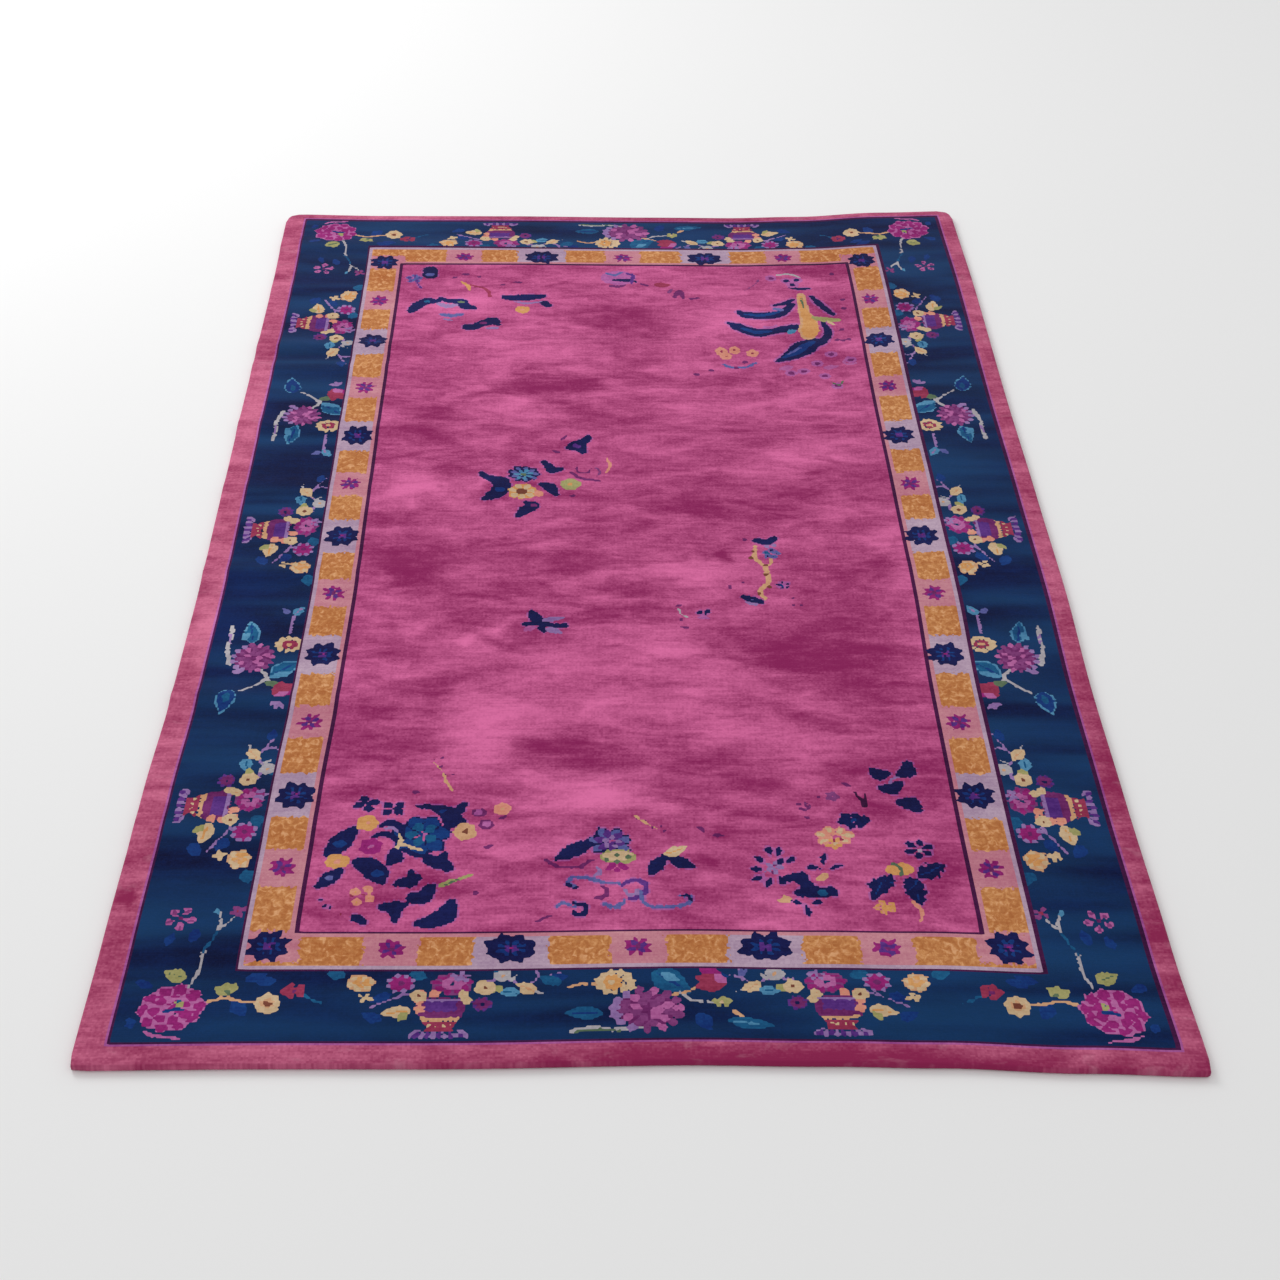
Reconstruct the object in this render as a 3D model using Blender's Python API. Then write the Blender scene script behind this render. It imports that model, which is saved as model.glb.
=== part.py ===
"""A hand-knotted Chinese art deco rug, lying on the floor.

The rug is one piece: wool pile, cotton foundation and overcast sides are knotted and
woven together, so it is one solid. It lies flat, a little out of square, with drawn-out
corners on the right-hand side and the soft ridges of a rug that was stored folded.
Metres, +Z up. The near end is at -Y, the far end at +Y, and the floor is at z = 0.
"""

import math
from typing import NamedTuple

import bmesh
import bpy

# Driving dimensions
WIDTH = 1.53  # across the warps, a five foot rug
LENGTH = 2.44  # along the warps, eight feet
THICKNESS = 0.012  # foundation and pile together
PILE_EDGE_ROUND = 0.004  # the pile's top edge rolls over by this much
NEAR_CORNER_RADIUS = 0.010
FAR_CORNER_RADIUS = 0.036

# Mesh sizes
COLUMNS = 18
ROWS = 100
CORNER_LINES = 3  # extra grid lines inside each corner's radius
EDGE_ROUND_STEPS = 2
STANDING = 0.5  # a face whose normal rises less than this stands on edge
SHARP_ANGLE = math.radians(40)  # steeper corners than this are shaded as corners

WOOL_COLOUR = (0.42, 0.08, 0.21, 1.0)  # raspberry
WOOL_ROUGHNESS = 0.85

HALF_WIDTH = WIDTH / 2
HALF_LENGTH = LENGTH / 2


class EndDrift(NamedTuple):
    """How far the two ends run off the true rectangle at one place across the rug."""

    x: float
    near: float  # towards +Y, at the near end
    far: float  # towards +Y, at the far end


class SideDrift(NamedTuple):
    """How far the two sides run off the true rectangle at one place along the rug."""

    y: float
    left: float  # towards +X, at the left side
    right: float  # towards +X, at the right side


class Ridge(NamedTuple):
    """One soft ridge, left where the rug was folded."""

    y: float  # where its crest meets the left side
    slant: float  # how far the crest climbs in Y for each metre across
    reach: float  # how far it runs across from the left side
    height: float
    half_width: float


END_DRIFTS = (
    EndDrift(x=-0.765, near=0.000, far=0.006),
    EndDrift(x=-0.540, near=0.001, far=-0.001),
    EndDrift(x=-0.260, near=-0.001, far=-0.001),
    EndDrift(x=0.060, near=0.003, far=-0.006),
    EndDrift(x=0.250, near=-0.001, far=-0.008),
    EndDrift(x=0.400, near=-0.005, far=-0.001),
    EndDrift(x=0.600, near=-0.016, far=0.021),
    EndDrift(x=0.765, near=-0.023, far=0.029),
)
SIDE_DRIFTS = (
    SideDrift(y=-1.220, left=-0.011, right=0.010),
    SideDrift(y=-1.000, left=-0.008, right=0.003),
    SideDrift(y=-0.700, left=-0.004, right=-0.001),
    SideDrift(y=-0.450, left=0.003, right=-0.003),
    SideDrift(y=-0.170, left=0.005, right=0.002),
    SideDrift(y=0.100, left=0.003, right=0.000),
    SideDrift(y=0.450, left=0.001, right=-0.003),
    SideDrift(y=0.850, left=0.000, right=-0.002),
    SideDrift(y=1.220, left=-0.005, right=-0.007),
)
RIDGES = (
    Ridge(y=1.075, slant=0.015, reach=0.62, height=0.0035, half_width=0.034),
    Ridge(y=0.880, slant=-0.020, reach=1.10, height=0.0025, half_width=0.040),
    Ridge(y=0.640, slant=0.010, reach=1.60, height=0.0050, half_width=0.038),
    Ridge(y=0.555, slant=0.030, reach=0.80, height=0.0040, half_width=0.032),
    Ridge(y=0.345, slant=-0.040, reach=1.20, height=0.0045, half_width=0.045),
    Ridge(y=0.130, slant=0.030, reach=0.70, height=0.0030, half_width=0.040),
    Ridge(y=-0.125, slant=0.010, reach=1.60, height=0.0040, half_width=0.036),
    Ridge(y=-0.460, slant=-0.015, reach=0.95, height=0.0045, half_width=0.036),
    Ridge(y=-0.760, slant=0.020, reach=1.60, height=0.0025, half_width=0.050),
)


def ease(t):
    """A smooth step from 0 to 1 as t goes from 0 to 1."""
    t = min(1.0, max(0.0, t))
    return t * t * (3 - 2 * t)


def drift(table, column, place):
    """Reads one column of a drift table at a place, with smooth steps between its rows."""
    for low, high in zip(table, table[1:]):
        if place <= high[0] or high is table[-1]:
            share = ease((place - low[0]) / (high[0] - low[0]))
            return getattr(low, column) * (1 - share) + getattr(high, column) * share


def round_corner(x, y):
    """Draws each square corner zone in to a quarter of a disc, so that the corner is an arc."""
    radius = FAR_CORNER_RADIUS if y > 0 else NEAR_CORNER_RADIUS
    a = (abs(x) - (HALF_WIDTH - radius)) / radius
    b = (abs(y) - (HALF_LENGTH - radius)) / radius
    if a <= 0 or b <= 0:
        return x, y
    across = HALF_WIDTH - radius + radius * a * math.sqrt(1 - b * b / 2)
    along = HALF_LENGTH - radius + radius * b * math.sqrt(1 - a * a / 2)
    return math.copysign(across, x), math.copysign(along, y)


def in_plan(x, y):
    """Where a point of the true rectangle lies in the rug's own uneven outline."""
    to_right = (x + HALF_WIDTH) / WIDTH
    to_far = (y + HALF_LENGTH) / LENGTH
    side = drift(SIDE_DRIFTS, "left", y) * (1 - to_right) + drift(SIDE_DRIFTS, "right", y) * to_right
    end = drift(END_DRIFTS, "near", x) * (1 - to_far) + drift(END_DRIFTS, "far", x) * to_far
    x, y = round_corner(x, y)
    return x + side, y + end


def lift(x, y):
    """How far the ridges lift the cloth off the floor. Between the ridges it is exactly 0."""
    across = x + HALF_WIDTH
    total = 0.0
    for ridge in RIDGES:
        off_crest = abs(y - ridge.y - ridge.slant * across) / ridge.half_width
        if off_crest < 1:
            bell = math.cos(off_crest * math.pi / 2) ** 2
            total += ridge.height * bell * ease((ridge.reach - across) / (ridge.reach / 2))
    return total


def grid_lines(half, steps, low_radius, high_radius):
    """Places of the grid lines from -half to half, closer together inside the corners."""
    low_zone = [-half + low_radius * i / CORNER_LINES for i in range(CORNER_LINES)]
    high_zone = [half - high_radius * i / CORNER_LINES for i in range(CORNER_LINES)]
    start, stop = -half + low_radius, half - high_radius
    middle = [start + (stop - start) * i / steps for i in range(steps + 1)]
    return low_zone + middle + high_zone[::-1]


def lay_sheet(bm):
    """Adds the underside of the rug: a sheet that lies on the floor and over its ridges."""
    xs = grid_lines(HALF_WIDTH, COLUMNS, FAR_CORNER_RADIUS, FAR_CORNER_RADIUS)
    ys = grid_lines(HALF_LENGTH, ROWS, NEAR_CORNER_RADIUS, FAR_CORNER_RADIUS)
    points = [[bm.verts.new((*in_plan(x, y), lift(x, y))) for x in xs] for y in ys]
    for near_row, far_row in zip(points, points[1:]):
        for a, b, c, d in zip(near_row, near_row[1:], far_row[1:], far_row):
            bm.faces.new((a, b, c, d))


def raise_pile(bm):
    """Thickens the sheet upwards and rolls the pile's top edge over."""
    raised = bmesh.ops.extrude_face_region(bm, geom=bm.faces[:])["geom"]
    top = [item for item in raised if isinstance(item, bmesh.types.BMVert)]
    bmesh.ops.translate(bm, verts=top, vec=(0, 0, THICKNESS))
    bmesh.ops.recalc_face_normals(bm, faces=bm.faces[:])
    on_top = set(top)
    rim = [
        edge
        for edge in bm.edges
        if set(edge.verts) <= on_top and any(abs(face.normal.z) < STANDING for face in edge.link_faces)
    ]
    bmesh.ops.bevel(
        bm, geom=rim, offset=PILE_EDGE_ROUND, segments=EDGE_ROUND_STEPS, profile=0.5, affect="EDGES"
    )


def centre_on_origin(bm):
    """Puts the middle of the rug's footprint over the origin."""
    xs = [vert.co.x for vert in bm.verts]
    ys = [vert.co.y for vert in bm.verts]
    middle = ((min(xs) + max(xs)) / 2, (min(ys) + max(ys)) / 2)
    bmesh.ops.translate(bm, verts=bm.verts[:], vec=(-middle[0], -middle[1], 0))


def wool():
    """The wool's plain finish, in the colour of the field and the outer band."""
    material = bpy.data.materials.new("rug_wool")
    material.use_nodes = True
    shader = material.node_tree.nodes["Principled BSDF"]
    shader.inputs["Base Color"].default_value = WOOL_COLOUR
    shader.inputs["Roughness"].default_value = WOOL_ROUGHNESS
    shader.inputs["Metallic"].default_value = 0.0
    return material


def make_rug():
    """Builds the rug as one closed solid."""
    bm = bmesh.new()
    lay_sheet(bm)
    raise_pile(bm)
    centre_on_origin(bm)
    mesh = bpy.data.meshes.new("rug")
    bm.to_mesh(mesh)
    bm.free()
    mesh.materials.append(wool())
    mesh.shade_smooth()
    mesh.set_sharp_from_angle(angle=SHARP_ANGLE)
    rug = bpy.data.objects.new("rug", mesh)
    bpy.context.scene.collection.objects.link(rug)
    return rug


for old in list(bpy.data.objects):
    bpy.data.objects.remove(old)
make_rug()
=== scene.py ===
# %% [markdown]
# # A Chinese art deco rug, knotted in wool
#
# This lesson makes the look of a hand-knotted rug: raspberry wool with flower sprays, a gold
# inner band, a dark blue border of vases and blossoms, and a raspberry band round the outside.
# Everything that is made here lies where that solid lies, so its box is measured first and
# kept.

import math

import bmesh
import bpy
import numpy as np
from mathutils import Matrix, Vector


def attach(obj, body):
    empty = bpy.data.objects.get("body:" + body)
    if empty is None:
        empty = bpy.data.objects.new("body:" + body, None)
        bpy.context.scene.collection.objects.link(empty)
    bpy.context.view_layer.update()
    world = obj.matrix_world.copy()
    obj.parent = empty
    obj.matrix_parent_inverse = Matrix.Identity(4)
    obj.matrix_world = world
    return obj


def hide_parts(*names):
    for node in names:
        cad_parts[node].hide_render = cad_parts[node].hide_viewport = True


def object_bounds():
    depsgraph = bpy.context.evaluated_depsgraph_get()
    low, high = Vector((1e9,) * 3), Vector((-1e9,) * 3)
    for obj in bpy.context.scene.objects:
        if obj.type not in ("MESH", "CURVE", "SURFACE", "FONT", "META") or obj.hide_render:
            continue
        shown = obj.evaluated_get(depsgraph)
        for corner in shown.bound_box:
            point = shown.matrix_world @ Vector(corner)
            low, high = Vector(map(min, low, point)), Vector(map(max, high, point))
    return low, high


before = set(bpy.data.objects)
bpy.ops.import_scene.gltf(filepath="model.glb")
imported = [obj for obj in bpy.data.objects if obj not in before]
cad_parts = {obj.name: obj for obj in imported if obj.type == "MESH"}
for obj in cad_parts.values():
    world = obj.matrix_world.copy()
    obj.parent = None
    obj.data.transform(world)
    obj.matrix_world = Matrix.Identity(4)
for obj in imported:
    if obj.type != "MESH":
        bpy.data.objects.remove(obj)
CAD_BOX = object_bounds()
print("the rug's box, in metres:", CAD_BOX)

# %% [markdown]
# ## The loom
#
# A weaver works from a chart: a sheet of squares, one for each knot, with a colour in each.
# The rug is made from such a chart here too. It has a knot every 3.4 mm, which a dealer calls
# a 90 line rug. All places on it are in millimetres from the rug's middle, across and along,
# on the true rectangle, before the rug is pulled out of shape.

# %% Sizes of the weave and its bands
KNOT = 3.4
KNOTS_ACROSS = 450
KNOTS_ALONG = 718
WIDTH = KNOT * KNOTS_ACROSS
LENGTH = KNOT * KNOTS_ALONG

BAND_LINES = {  # how far in each band starts: left, right, near end, far end
    "blue border": (43, 34, 36, 24),
    "gold band": (206, 197, 175, 160),
    "field": (275, 269, 240, 228),
}
knot_x = (np.arange(KNOTS_ACROSS) + 0.5) * KNOT - WIDTH / 2
knot_y = (np.arange(KNOTS_ALONG) + 0.5) * KNOT - LENGTH / 2
print(f"{KNOTS_ACROSS} x {KNOTS_ALONG} knots on {WIDTH:.0f} x {LENGTH:.0f} mm")

# %% [markdown]
# ## The yarns
#
# Cut wool has two looks, by how it meets the light. Seen into the tufts it is deep, and seen along the way
# they lean it is pale and silky. So each dyed yarn gets both colours painted in, a painted shade tone and a
# painted sheen tone, and the finish mixes them later, where the pile leans. The colours are written as a
# paint shop would, from 0 to 255.

# %% The dyed yarns
# Each yarn: its painted shade tone, seen into the tufts, then its painted sheen tone, along their lean.
YARNS = {  # into the tufts, along their lean
    "raspberry": ((136, 30, 88), (224, 112, 166)),
    "outer raspberry": ((140, 36, 80), (222, 122, 156)),
    "navy": ((1, 5, 42), (5, 34, 88)),
    "gold": ((170, 96, 46), (224, 166, 108)),
    "blush": ((172, 96, 120), (214, 156, 162)),
    "silver": ((150, 120, 150), (204, 180, 196)),
    "aubergine": ((40, 4, 44), (92, 30, 84)),
    "dusk": ((132, 52, 122), (206, 122, 184)),
    "ink": ((6, 6, 52), (26, 36, 98)),
    "royal": ((5, 28, 92), (24, 74, 140)),
    "slate": ((58, 62, 128), (118, 122, 178)),
    "teal": ((6, 52, 96), (32, 108, 152)),
    "sky": ((40, 96, 138), (104, 164, 196)),
    "violet": ((60, 20, 100), (112, 66, 150)),
    "plum": ((82, 14, 74), (136, 58, 124)),
    "magenta": ((112, 10, 84), (176, 50, 136)),
    "orchid": ((146, 62, 124), (204, 124, 180)),
    "lilac": ((116, 82, 140), (172, 140, 190)),
    "mauve": ((98, 34, 92), (156, 82, 142)),
    "maroon": ((118, 26, 58), (176, 70, 102)),
    "brown": ((92, 44, 34), (142, 84, 66)),
    "tan": ((178, 128, 92), (222, 178, 140)),
    "ochre": ((182, 120, 64), (228, 176, 116)),
    "peach": ((190, 112, 94), (232, 168, 148)),
    "cream": ((176, 146, 110), (224, 198, 164)),
    "sage": ((130, 128, 76), (184, 178, 124)),
    "moss": ((62, 84, 66), (112, 130, 100)),
    "ash": ((140, 134, 142), (196, 190, 194)),
}
YARN_NUMBER = {name: i for i, name in enumerate(YARNS)}
print(len(YARNS), "yarns")

# %% [markdown]
# ## The pen
#
# A pen draws on the chart from a starting place of its own, in two directions of its own. A
# group of flowers is drawn once, and a pen that runs the other way draws its mirror image.
# Each knot is judged a little off its own middle, so edges come out as uneven as hand work.

# %% A pen that fills knots
chart = np.full((KNOTS_ALONG, KNOTS_ACROSS), YARN_NUMBER["raspberry"])
hand = np.random.default_rng(7)
WANDER = hand.uniform(-0.32, 0.32, (2, KNOTS_ALONG, KNOTS_ACROSS)) * KNOT


class Pen:
    """Draws from (x, y). right and up are unit steps on the rug, and tall stretches up."""

    def __init__(self, x, y, right=(1, 0), up=(0, 1), tall=1.0):
        self.x, self.y, self.right, self.up, self.tall = x, y, right, up, tall

    def moved(self, s, t):
        """A pen that starts s to the right and t up from this one."""
        x = self.x + s * self.right[0] + t * self.tall * self.up[0]
        y = self.y + s * self.right[1] + t * self.tall * self.up[1]
        return Pen(x, y, self.right, self.up, self.tall)

    def near(self, s, t, reach):
        """The knots within reach of a place, and how far right and up of it each one is."""
        place = self.moved(s, t)
        first_x = max(0, int((place.x - reach + WIDTH / 2) / KNOT))
        first_y = max(0, int((place.y - reach + LENGTH / 2) / KNOT))
        last_x = max(first_x, int((place.x + reach + WIDTH / 2) / KNOT) + 1)
        last_y = max(first_y, int((place.y + reach + LENGTH / 2) / KNOT) + 1)
        window = (slice(first_y, last_y), slice(first_x, last_x))
        x = knot_x[window[1]][None, :] + WANDER[0][window] - place.x
        y = knot_y[window[0]][:, None] + WANDER[1][window] - place.y
        across = x * self.right[0] + y * self.right[1]
        along = (x * self.up[0] + y * self.up[1]) / self.tall
        return window, across, along

    def fill(self, window, inside, yarn):
        chart[window][inside] = YARN_NUMBER[yarn]


# %% [markdown]
# ## Marks
#
# Four marks draw everything. A blade is a petal or a leaf, with an outline, a rib or teeth if it
# needs them. A brush is a line through a few places that swells and thins, for stems, ribbons
# and lobed leaves. A ball is a round or oval spot. A curve through the places is the usual
# Catmull-Rom one, which passes through every one of them.

# %% Blades, brushes and balls
def ball(pen, s, t, wide, high, yarn):
    window, across, along = pen.near(s, t, max(wide, high) / 2 + KNOT)
    pen.fill(window, (across / (wide / 2)) ** 2 + (along / (high / 2)) ** 2 <= 1, yarn)


def blade(pen, s, t, heading, long, wide, yarn, belly=0.5, rim=None, rib=None, teeth=0):
    """A leaf or petal from its foot at (s, t). heading is in degrees, 0 right and 90 up."""
    window, across, along = pen.near(s, t, long + wide)
    c, n = math.cos(math.radians(heading)), math.sin(math.radians(heading))
    up = (across * c + along * n) / long
    side = np.abs(along * c - across * n)
    half = wide / 2 * np.sin(np.pi * np.clip(up, 0, 1) ** (math.log(0.5) / math.log(belly)))
    if teeth:
        half = half * (1.12 - 0.55 * (up * teeth % 1))
    on = (up >= 0) & (up <= 1)
    pen.fill(window, on & (side <= half + 0.2 * KNOT), rim or yarn)
    if rim:
        pen.fill(window, on & (side <= half - 0.85 * KNOT) & (up < 1 - KNOT / long), yarn)
    if rib:
        pen.fill(window, (side <= 0.5 * KNOT) & (up > 0.12) & (up < 0.8), rib)


def curve(places, steps=14):
    """Points along a smooth curve through the places."""
    p = np.array(places, float)
    p = np.vstack([2 * p[0] - p[1], p, 2 * p[-1] - p[-2]])
    u = np.linspace(0, 1, steps, endpoint=False)[:, None]
    bends = []
    for a, b, c, d in zip(p, p[1:], p[2:], p[3:]):
        bends.append(b + u * (c - a) / 2 + u**2 * (a - 2.5 * b + 2 * c - d / 2)
                     + u**3 * (1.5 * (b - c) + (d - a) / 2))
    return np.vstack([*bends, p[-2:-1]])


def brush(pen, places, widths, yarn):
    """A line through the places. widths is one number, or one for each place."""
    line = curve(places)
    widths = [widths] * len(places) if np.isscalar(widths) else widths
    half = np.interp(np.linspace(0, 1, len(line)), np.linspace(0, 1, len(widths)), widths) / 2
    middle = (line.min(0) + line.max(0)) / 2
    reach = float(np.abs(line - middle).max() + half.max() + KNOT)
    window, across, along = pen.near(*middle, reach)
    gap = np.hypot(across[..., None] - line[:, 0] + middle[0], along[..., None] - line[:, 1] + middle[1])
    pen.fill(window, (gap - half).min(-1) <= 0.15 * KNOT, yarn)


print("marks: ball, blade, curve, brush")

# %% [markdown]
# ## Flowers
#
# Each kind of blossom is built from rings of petals, from the outside in, as a weaver would
# count them. Only a few kinds are needed: an open flower, the big peony, the chrysanthemum with
# its many short petals, and the small ring flower. No two petals are quite alike.

# %% Kinds of blossom
def petals(pen, s, t, count, reach, wide, yarn, start=0.0, rim=None, turn=0.0, flat=1.0, belly=0.62):
    """A ring of petals. start is how far out they begin, and flat squashes the ring upwards."""
    for k in range(count):
        angle = math.radians(turn + 360 * k / count)
        way = (math.cos(angle), math.sin(angle) * flat)
        size = math.hypot(*way) * hand.uniform(0.93, 1.07)
        heading = math.degrees(math.atan2(way[1], way[0]))
        foot = (s + way[0] * start, t + way[1] * start)
        blade(pen, *foot, heading, (reach - start) * size, wide, yarn, belly, rim)


def open_flower(pen, s, t, across, yarn, heart, count=6, rim=None, turn=10.0, flat=1.0):
    petals(pen, s, t, count, across / 2, across * 2.6 / count, yarn, 0.0, rim, turn, flat)
    ball(pen, s, t, across * 0.26, across * 0.26 * flat, heart)


def ring_flower(pen, s, t, across, yarn, tips, heart):
    """A small round flower with pale tips round its edge."""
    ball(pen, s, t, across * 0.82, across * 0.82, yarn)
    for k in range(8):
        angle = math.radians(45 * k + 20)
        spot = (s + 0.4 * across * math.cos(angle), t + 0.4 * across * math.sin(angle))
        ball(pen, *spot, across * 0.21, across * 0.21, tips)
    ball(pen, s, t, across * 0.24, across * 0.24, heart)


def chrysanthemum(pen, s, t, wide, high):
    """A dome of short petals, plum between them and paler towards the left."""
    ball(pen, s, t, wide * 0.82, high * 0.82, "plum")
    flat = high / wide
    for reach, count, turn in ((0.5, 15, 5), (0.36, 11, 20), (0.22, 7, 0)):
        for k in range(count):
            angle = math.radians(turn + 360 * k / count)
            way = (math.cos(angle), math.sin(angle) * flat)
            yarn = "lilac" if way[0] < -0.3 and reach > 0.4 else "orchid" if k % 3 == 0 else "mauve"
            foot = (s + way[0] * wide * (reach - 0.17), t + way[1] * wide * (reach - 0.17))
            heading = math.degrees(math.atan2(way[1], way[0]))
            blade(pen, *foot, heading, wide * 0.18, wide * 0.115, yarn, 0.6)


def peony(pen, s, t, across):
    """The big corner flower: pointed magenta petals with orchid edges round a small heart."""
    petals(pen, s, t, 10, across * 0.5, across * 0.30, "magenta", across * 0.12, "orchid", 8, 0.92, 0.6)
    petals(pen, s, t - across * 0.04, 7, across * 0.34, across * 0.24, "magenta", across * 0.06,
           "orchid", 30, 0.85, 0.6)
    ball(pen, s + across * 0.03, t + across * 0.06, across * 0.36, across * 0.28, "magenta")
    petals(pen, s + across * 0.02, t + across * 0.05, 5, across * 0.17, across * 0.11, "orchid", 3, None, 50)
    brush(pen, [(s - across * 0.08, t - across * 0.06), (s + across * 0.03, t - across * 0.02),
                (s + across * 0.16, t - across * 0.02)], 5, "royal")
    ball(pen, s + across * 0.10, t + across * 0.09, across * 0.12, across * 0.14, "sage")
    ball(pen, s + across * 0.09, t + across * 0.12, across * 0.05, across * 0.06, "teal")


def leaf(pen, s, t, heading, long, wide, yarn="teal", rim=None, rib=None):
    blade(pen, s, t, heading, long, wide, yarn, 0.42, rim, rib)


print("blossoms: open flower, ring flower, chrysanthemum, peony")
# %% [markdown]
# ## The bands
#
# From the outside in: a raspberry band, the dark blue border, the gold band between two silver
# lines, and the field. A dark guard line runs along each change. The ends are a little narrower
# than the sides, as they were woven.

# %% Lay out the bands
from_left, from_right = knot_x + WIDTH / 2, WIDTH / 2 - knot_x
from_near, from_far = knot_y + LENGTH / 2, LENGTH / 2 - knot_y


def inside(band, more=0.0):
    """The knots that lie inside a band's outer line, or further in by more."""
    left, right, near, far = (line + more for line in BAND_LINES[band])
    across = (from_left > left) & (from_right > right)
    along = (from_near > near) & (from_far > far)
    return along[:, None] & across[None, :]


def lay(mask, yarn):
    chart[mask] = YARN_NUMBER[yarn]


lay(np.full(chart.shape, True), "outer raspberry")
lay(inside("blue border", -3), "dusk")
lay(inside("blue border", 0), "aubergine")
lay(inside("blue border", 6), "navy")
lay(inside("gold band", -9), "aubergine")
lay(inside("gold band", -4), "silver")
lay(inside("gold band", 3), "gold")
lay(inside("field", -9), "blush")
lay(inside("field", -3), "aubergine")
lay(inside("field", 3), "raspberry")
print("bands laid, in", len(np.unique(chart)), "yarns")

# %% [markdown]
# ## Rosettes in the gold band
#
# Blue rosettes with forked petals stand at the corners and at even steps between, each in a
# pale gap, and a smaller magenta one stands midway between two of them. The band is a little
# narrower at the ends of the rug, so a rosette is wider than it is tall there.

# %% Knot the rosettes
def gap_for(x, y, wide, high, yarn):
    """A pale gap in the gold for a rosette to stand in."""
    window, across, along = Pen(x, y).near(0, 0, max(wide, high))
    gold = chart[window] == YARN_NUMBER["gold"]
    ragged = 2.5 * KNOT * hand.uniform(-0.5, 0.5, across.shape)
    shape = (np.abs(across) + ragged <= wide / 2) & (np.abs(along) + ragged <= high / 2)
    Pen(x, y).fill(window, gold & shape, yarn)


def blue_rosette(x, y, wide, high):
    pen = Pen(x, y)
    flat = high / wide
    petals(pen, 0, 0, 8, wide * 0.54, wide * 0.25, "ink", 1, None, 22.5, flat, 0.6)
    ball(pen, 0, 0, wide * 0.34, high * 0.34, "ink")
    petals(pen, 0, 0, 8, wide * 0.32, wide * 0.07, "royal", 8, None, 22.5, flat, 0.5)
    petals(pen, 0, 0, 4, wide * 0.15, wide * 0.09, "violet", 1, None, 45, flat)
    ball(pen, wide * 0.02, high * 0.02, 5, 4, "magenta")


def magenta_rosette(x, y, wide, high):
    pen = Pen(x, y)
    petals(pen, 0, 0, 8, wide * 0.5, wide * 0.16, "magenta", 2, None, 12, high / wide, 0.55)
    petals(pen, 0, 0, 4, wide * 0.36, wide * 0.16, "violet", 0, None, 30, high / wide)
    ball(pen, 0, 0, wide * 0.2, high * 0.2, "plum")


SIDE_X = (-527, 530)
END_Y = (-1012, 1025)
BLUE_ALONG = (-1007, -695, -353, -17, 309, 663, 1000)
BLUE_ACROSS = (-181, 182)
for y in BLUE_ALONG:
    for x in SIDE_X:
        gap_for(x, y, 90, 100 if abs(y) < 900 else 60, "silver" if abs(y) < 900 else "blush")
        blue_rosette(x, y, 62, 60)
for y in END_Y:
    for x in BLUE_ACROSS:
        gap_for(x, y, 108, 80, "silver")
        blue_rosette(x, y, 76, 54)
for low, high in zip(BLUE_ALONG, BLUE_ALONG[1:]):
    for x in SIDE_X:
        gap_for(x, (low + high) / 2, 90, 76, "blush")
        magenta_rosette(x, (low + high) / 2, 44, 46)
for y in END_Y:
    for x in (-352, 0, 356):
        gap_for(x, y, 78, 80, "blush")
        magenta_rosette(x, y, 46, 40)
woven_bands = chart.copy()
print("rosettes:", len(BLUE_ALONG) * 2 + 4, "blue and", (len(BLUE_ALONG) - 1) * 2 + 6, "magenta")

# %% [markdown]
# ## The corner groups of the border
#
# A peony sits in each corner. A stem runs from it along the end to a cream daisy, and another
# climbs the side to small blossoms. The group is drawn once, in millimetres from the rug's
# near left corner, and pens that run the other way knot it into the other three corners.

# %% Corner group
def corner_group(pen):
    brush(pen, [(90, 60), (104, 52), (122, 50), (142, 46)], [3, 5, 4, 3], "orchid")
    for s, t, heading, long, wide in ((62, 150, -25, 30, 14), (203, 112, -55, 34, 22), (74, 66, 120, 20, 14),
                                      (214, 150, 20, 34, 15), (258, 152, 200, 30, 14), (128, 222, 80, 30, 16),
                                      (92, 216, 70, 26, 13)):
        leaf(pen, s, t, heading, long, wide, "royal")
    brush(pen, [(138, 140), (146, 162), (148, 186), (146, 204)], [4, 4, 3, 3], "ash")
    brush(pen, [(146, 196), (152, 206)], 3, "ash")
    brush(pen, [(165, 110), (190, 118), (214, 112), (232, 110)], [5, 4, 4, 3], "tan")
    leaf(pen, 132, 154, 158, 36, 24, "sage", rib="moss")
    for heading in (60, 100, 140):
        leaf(pen, 192, 124, heading, 24, 13, "sage")
    ball(pen, 193, 128, 10, 9, "moss")
    peony(pen, 120, 100, 98)
    open_flower(pen, 251, 107, 40, "cream", "brown", 8, None, 5)
    petals(pen, 251, 107, 8, 11, 3, "tan", 4, None, 27)
    petals(pen, 284, 130, 5, 19, 13, "maroon", 2, None, 40, 0.8)
    ball(pen, 284, 130, 9, 8, "plum")
    brush(pen, [(300, 122), (314, 112), (326, 108)], 3, "teal")
    petals(pen, 105, 268, 5, 24, 12, "mauve", 5, "orchid", 60)
    ball(pen, 105, 268, 7, 7, "plum")
    brush(pen, [(163, 244), (164, 262), (160, 280)], [3, 4, 3], "ash")
    brush(pen, [(164, 250), (174, 258), (182, 270)], 3, "ash")
    leaf(pen, 158, 276, 110, 13, 7, "sky")
    petals(pen, 186, 282, 4, 13, 8, "mauve", 1, None, 30)
    ball(pen, 186, 282, 6, 6, "maroon")
    brush(pen, [(146, 204), (156, 224), (163, 244)], 3, "teal")


LEFT, RIGHT, NEAR, FAR = -WIDTH / 2, WIDTH / 2, -LENGTH / 2, LENGTH / 2
CORNER_PENS = (
    Pen(LEFT, NEAR),
    Pen(RIGHT + 9, NEAR, right=(-1, 0)),
    Pen(LEFT, FAR + 14, up=(0, -1)),
    Pen(RIGHT + 9, FAR + 14, right=(-1, 0), up=(0, -1)),
)
for pen in CORNER_PENS:
    corner_group(pen)
print("corner groups:", len(CORNER_PENS))

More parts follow.
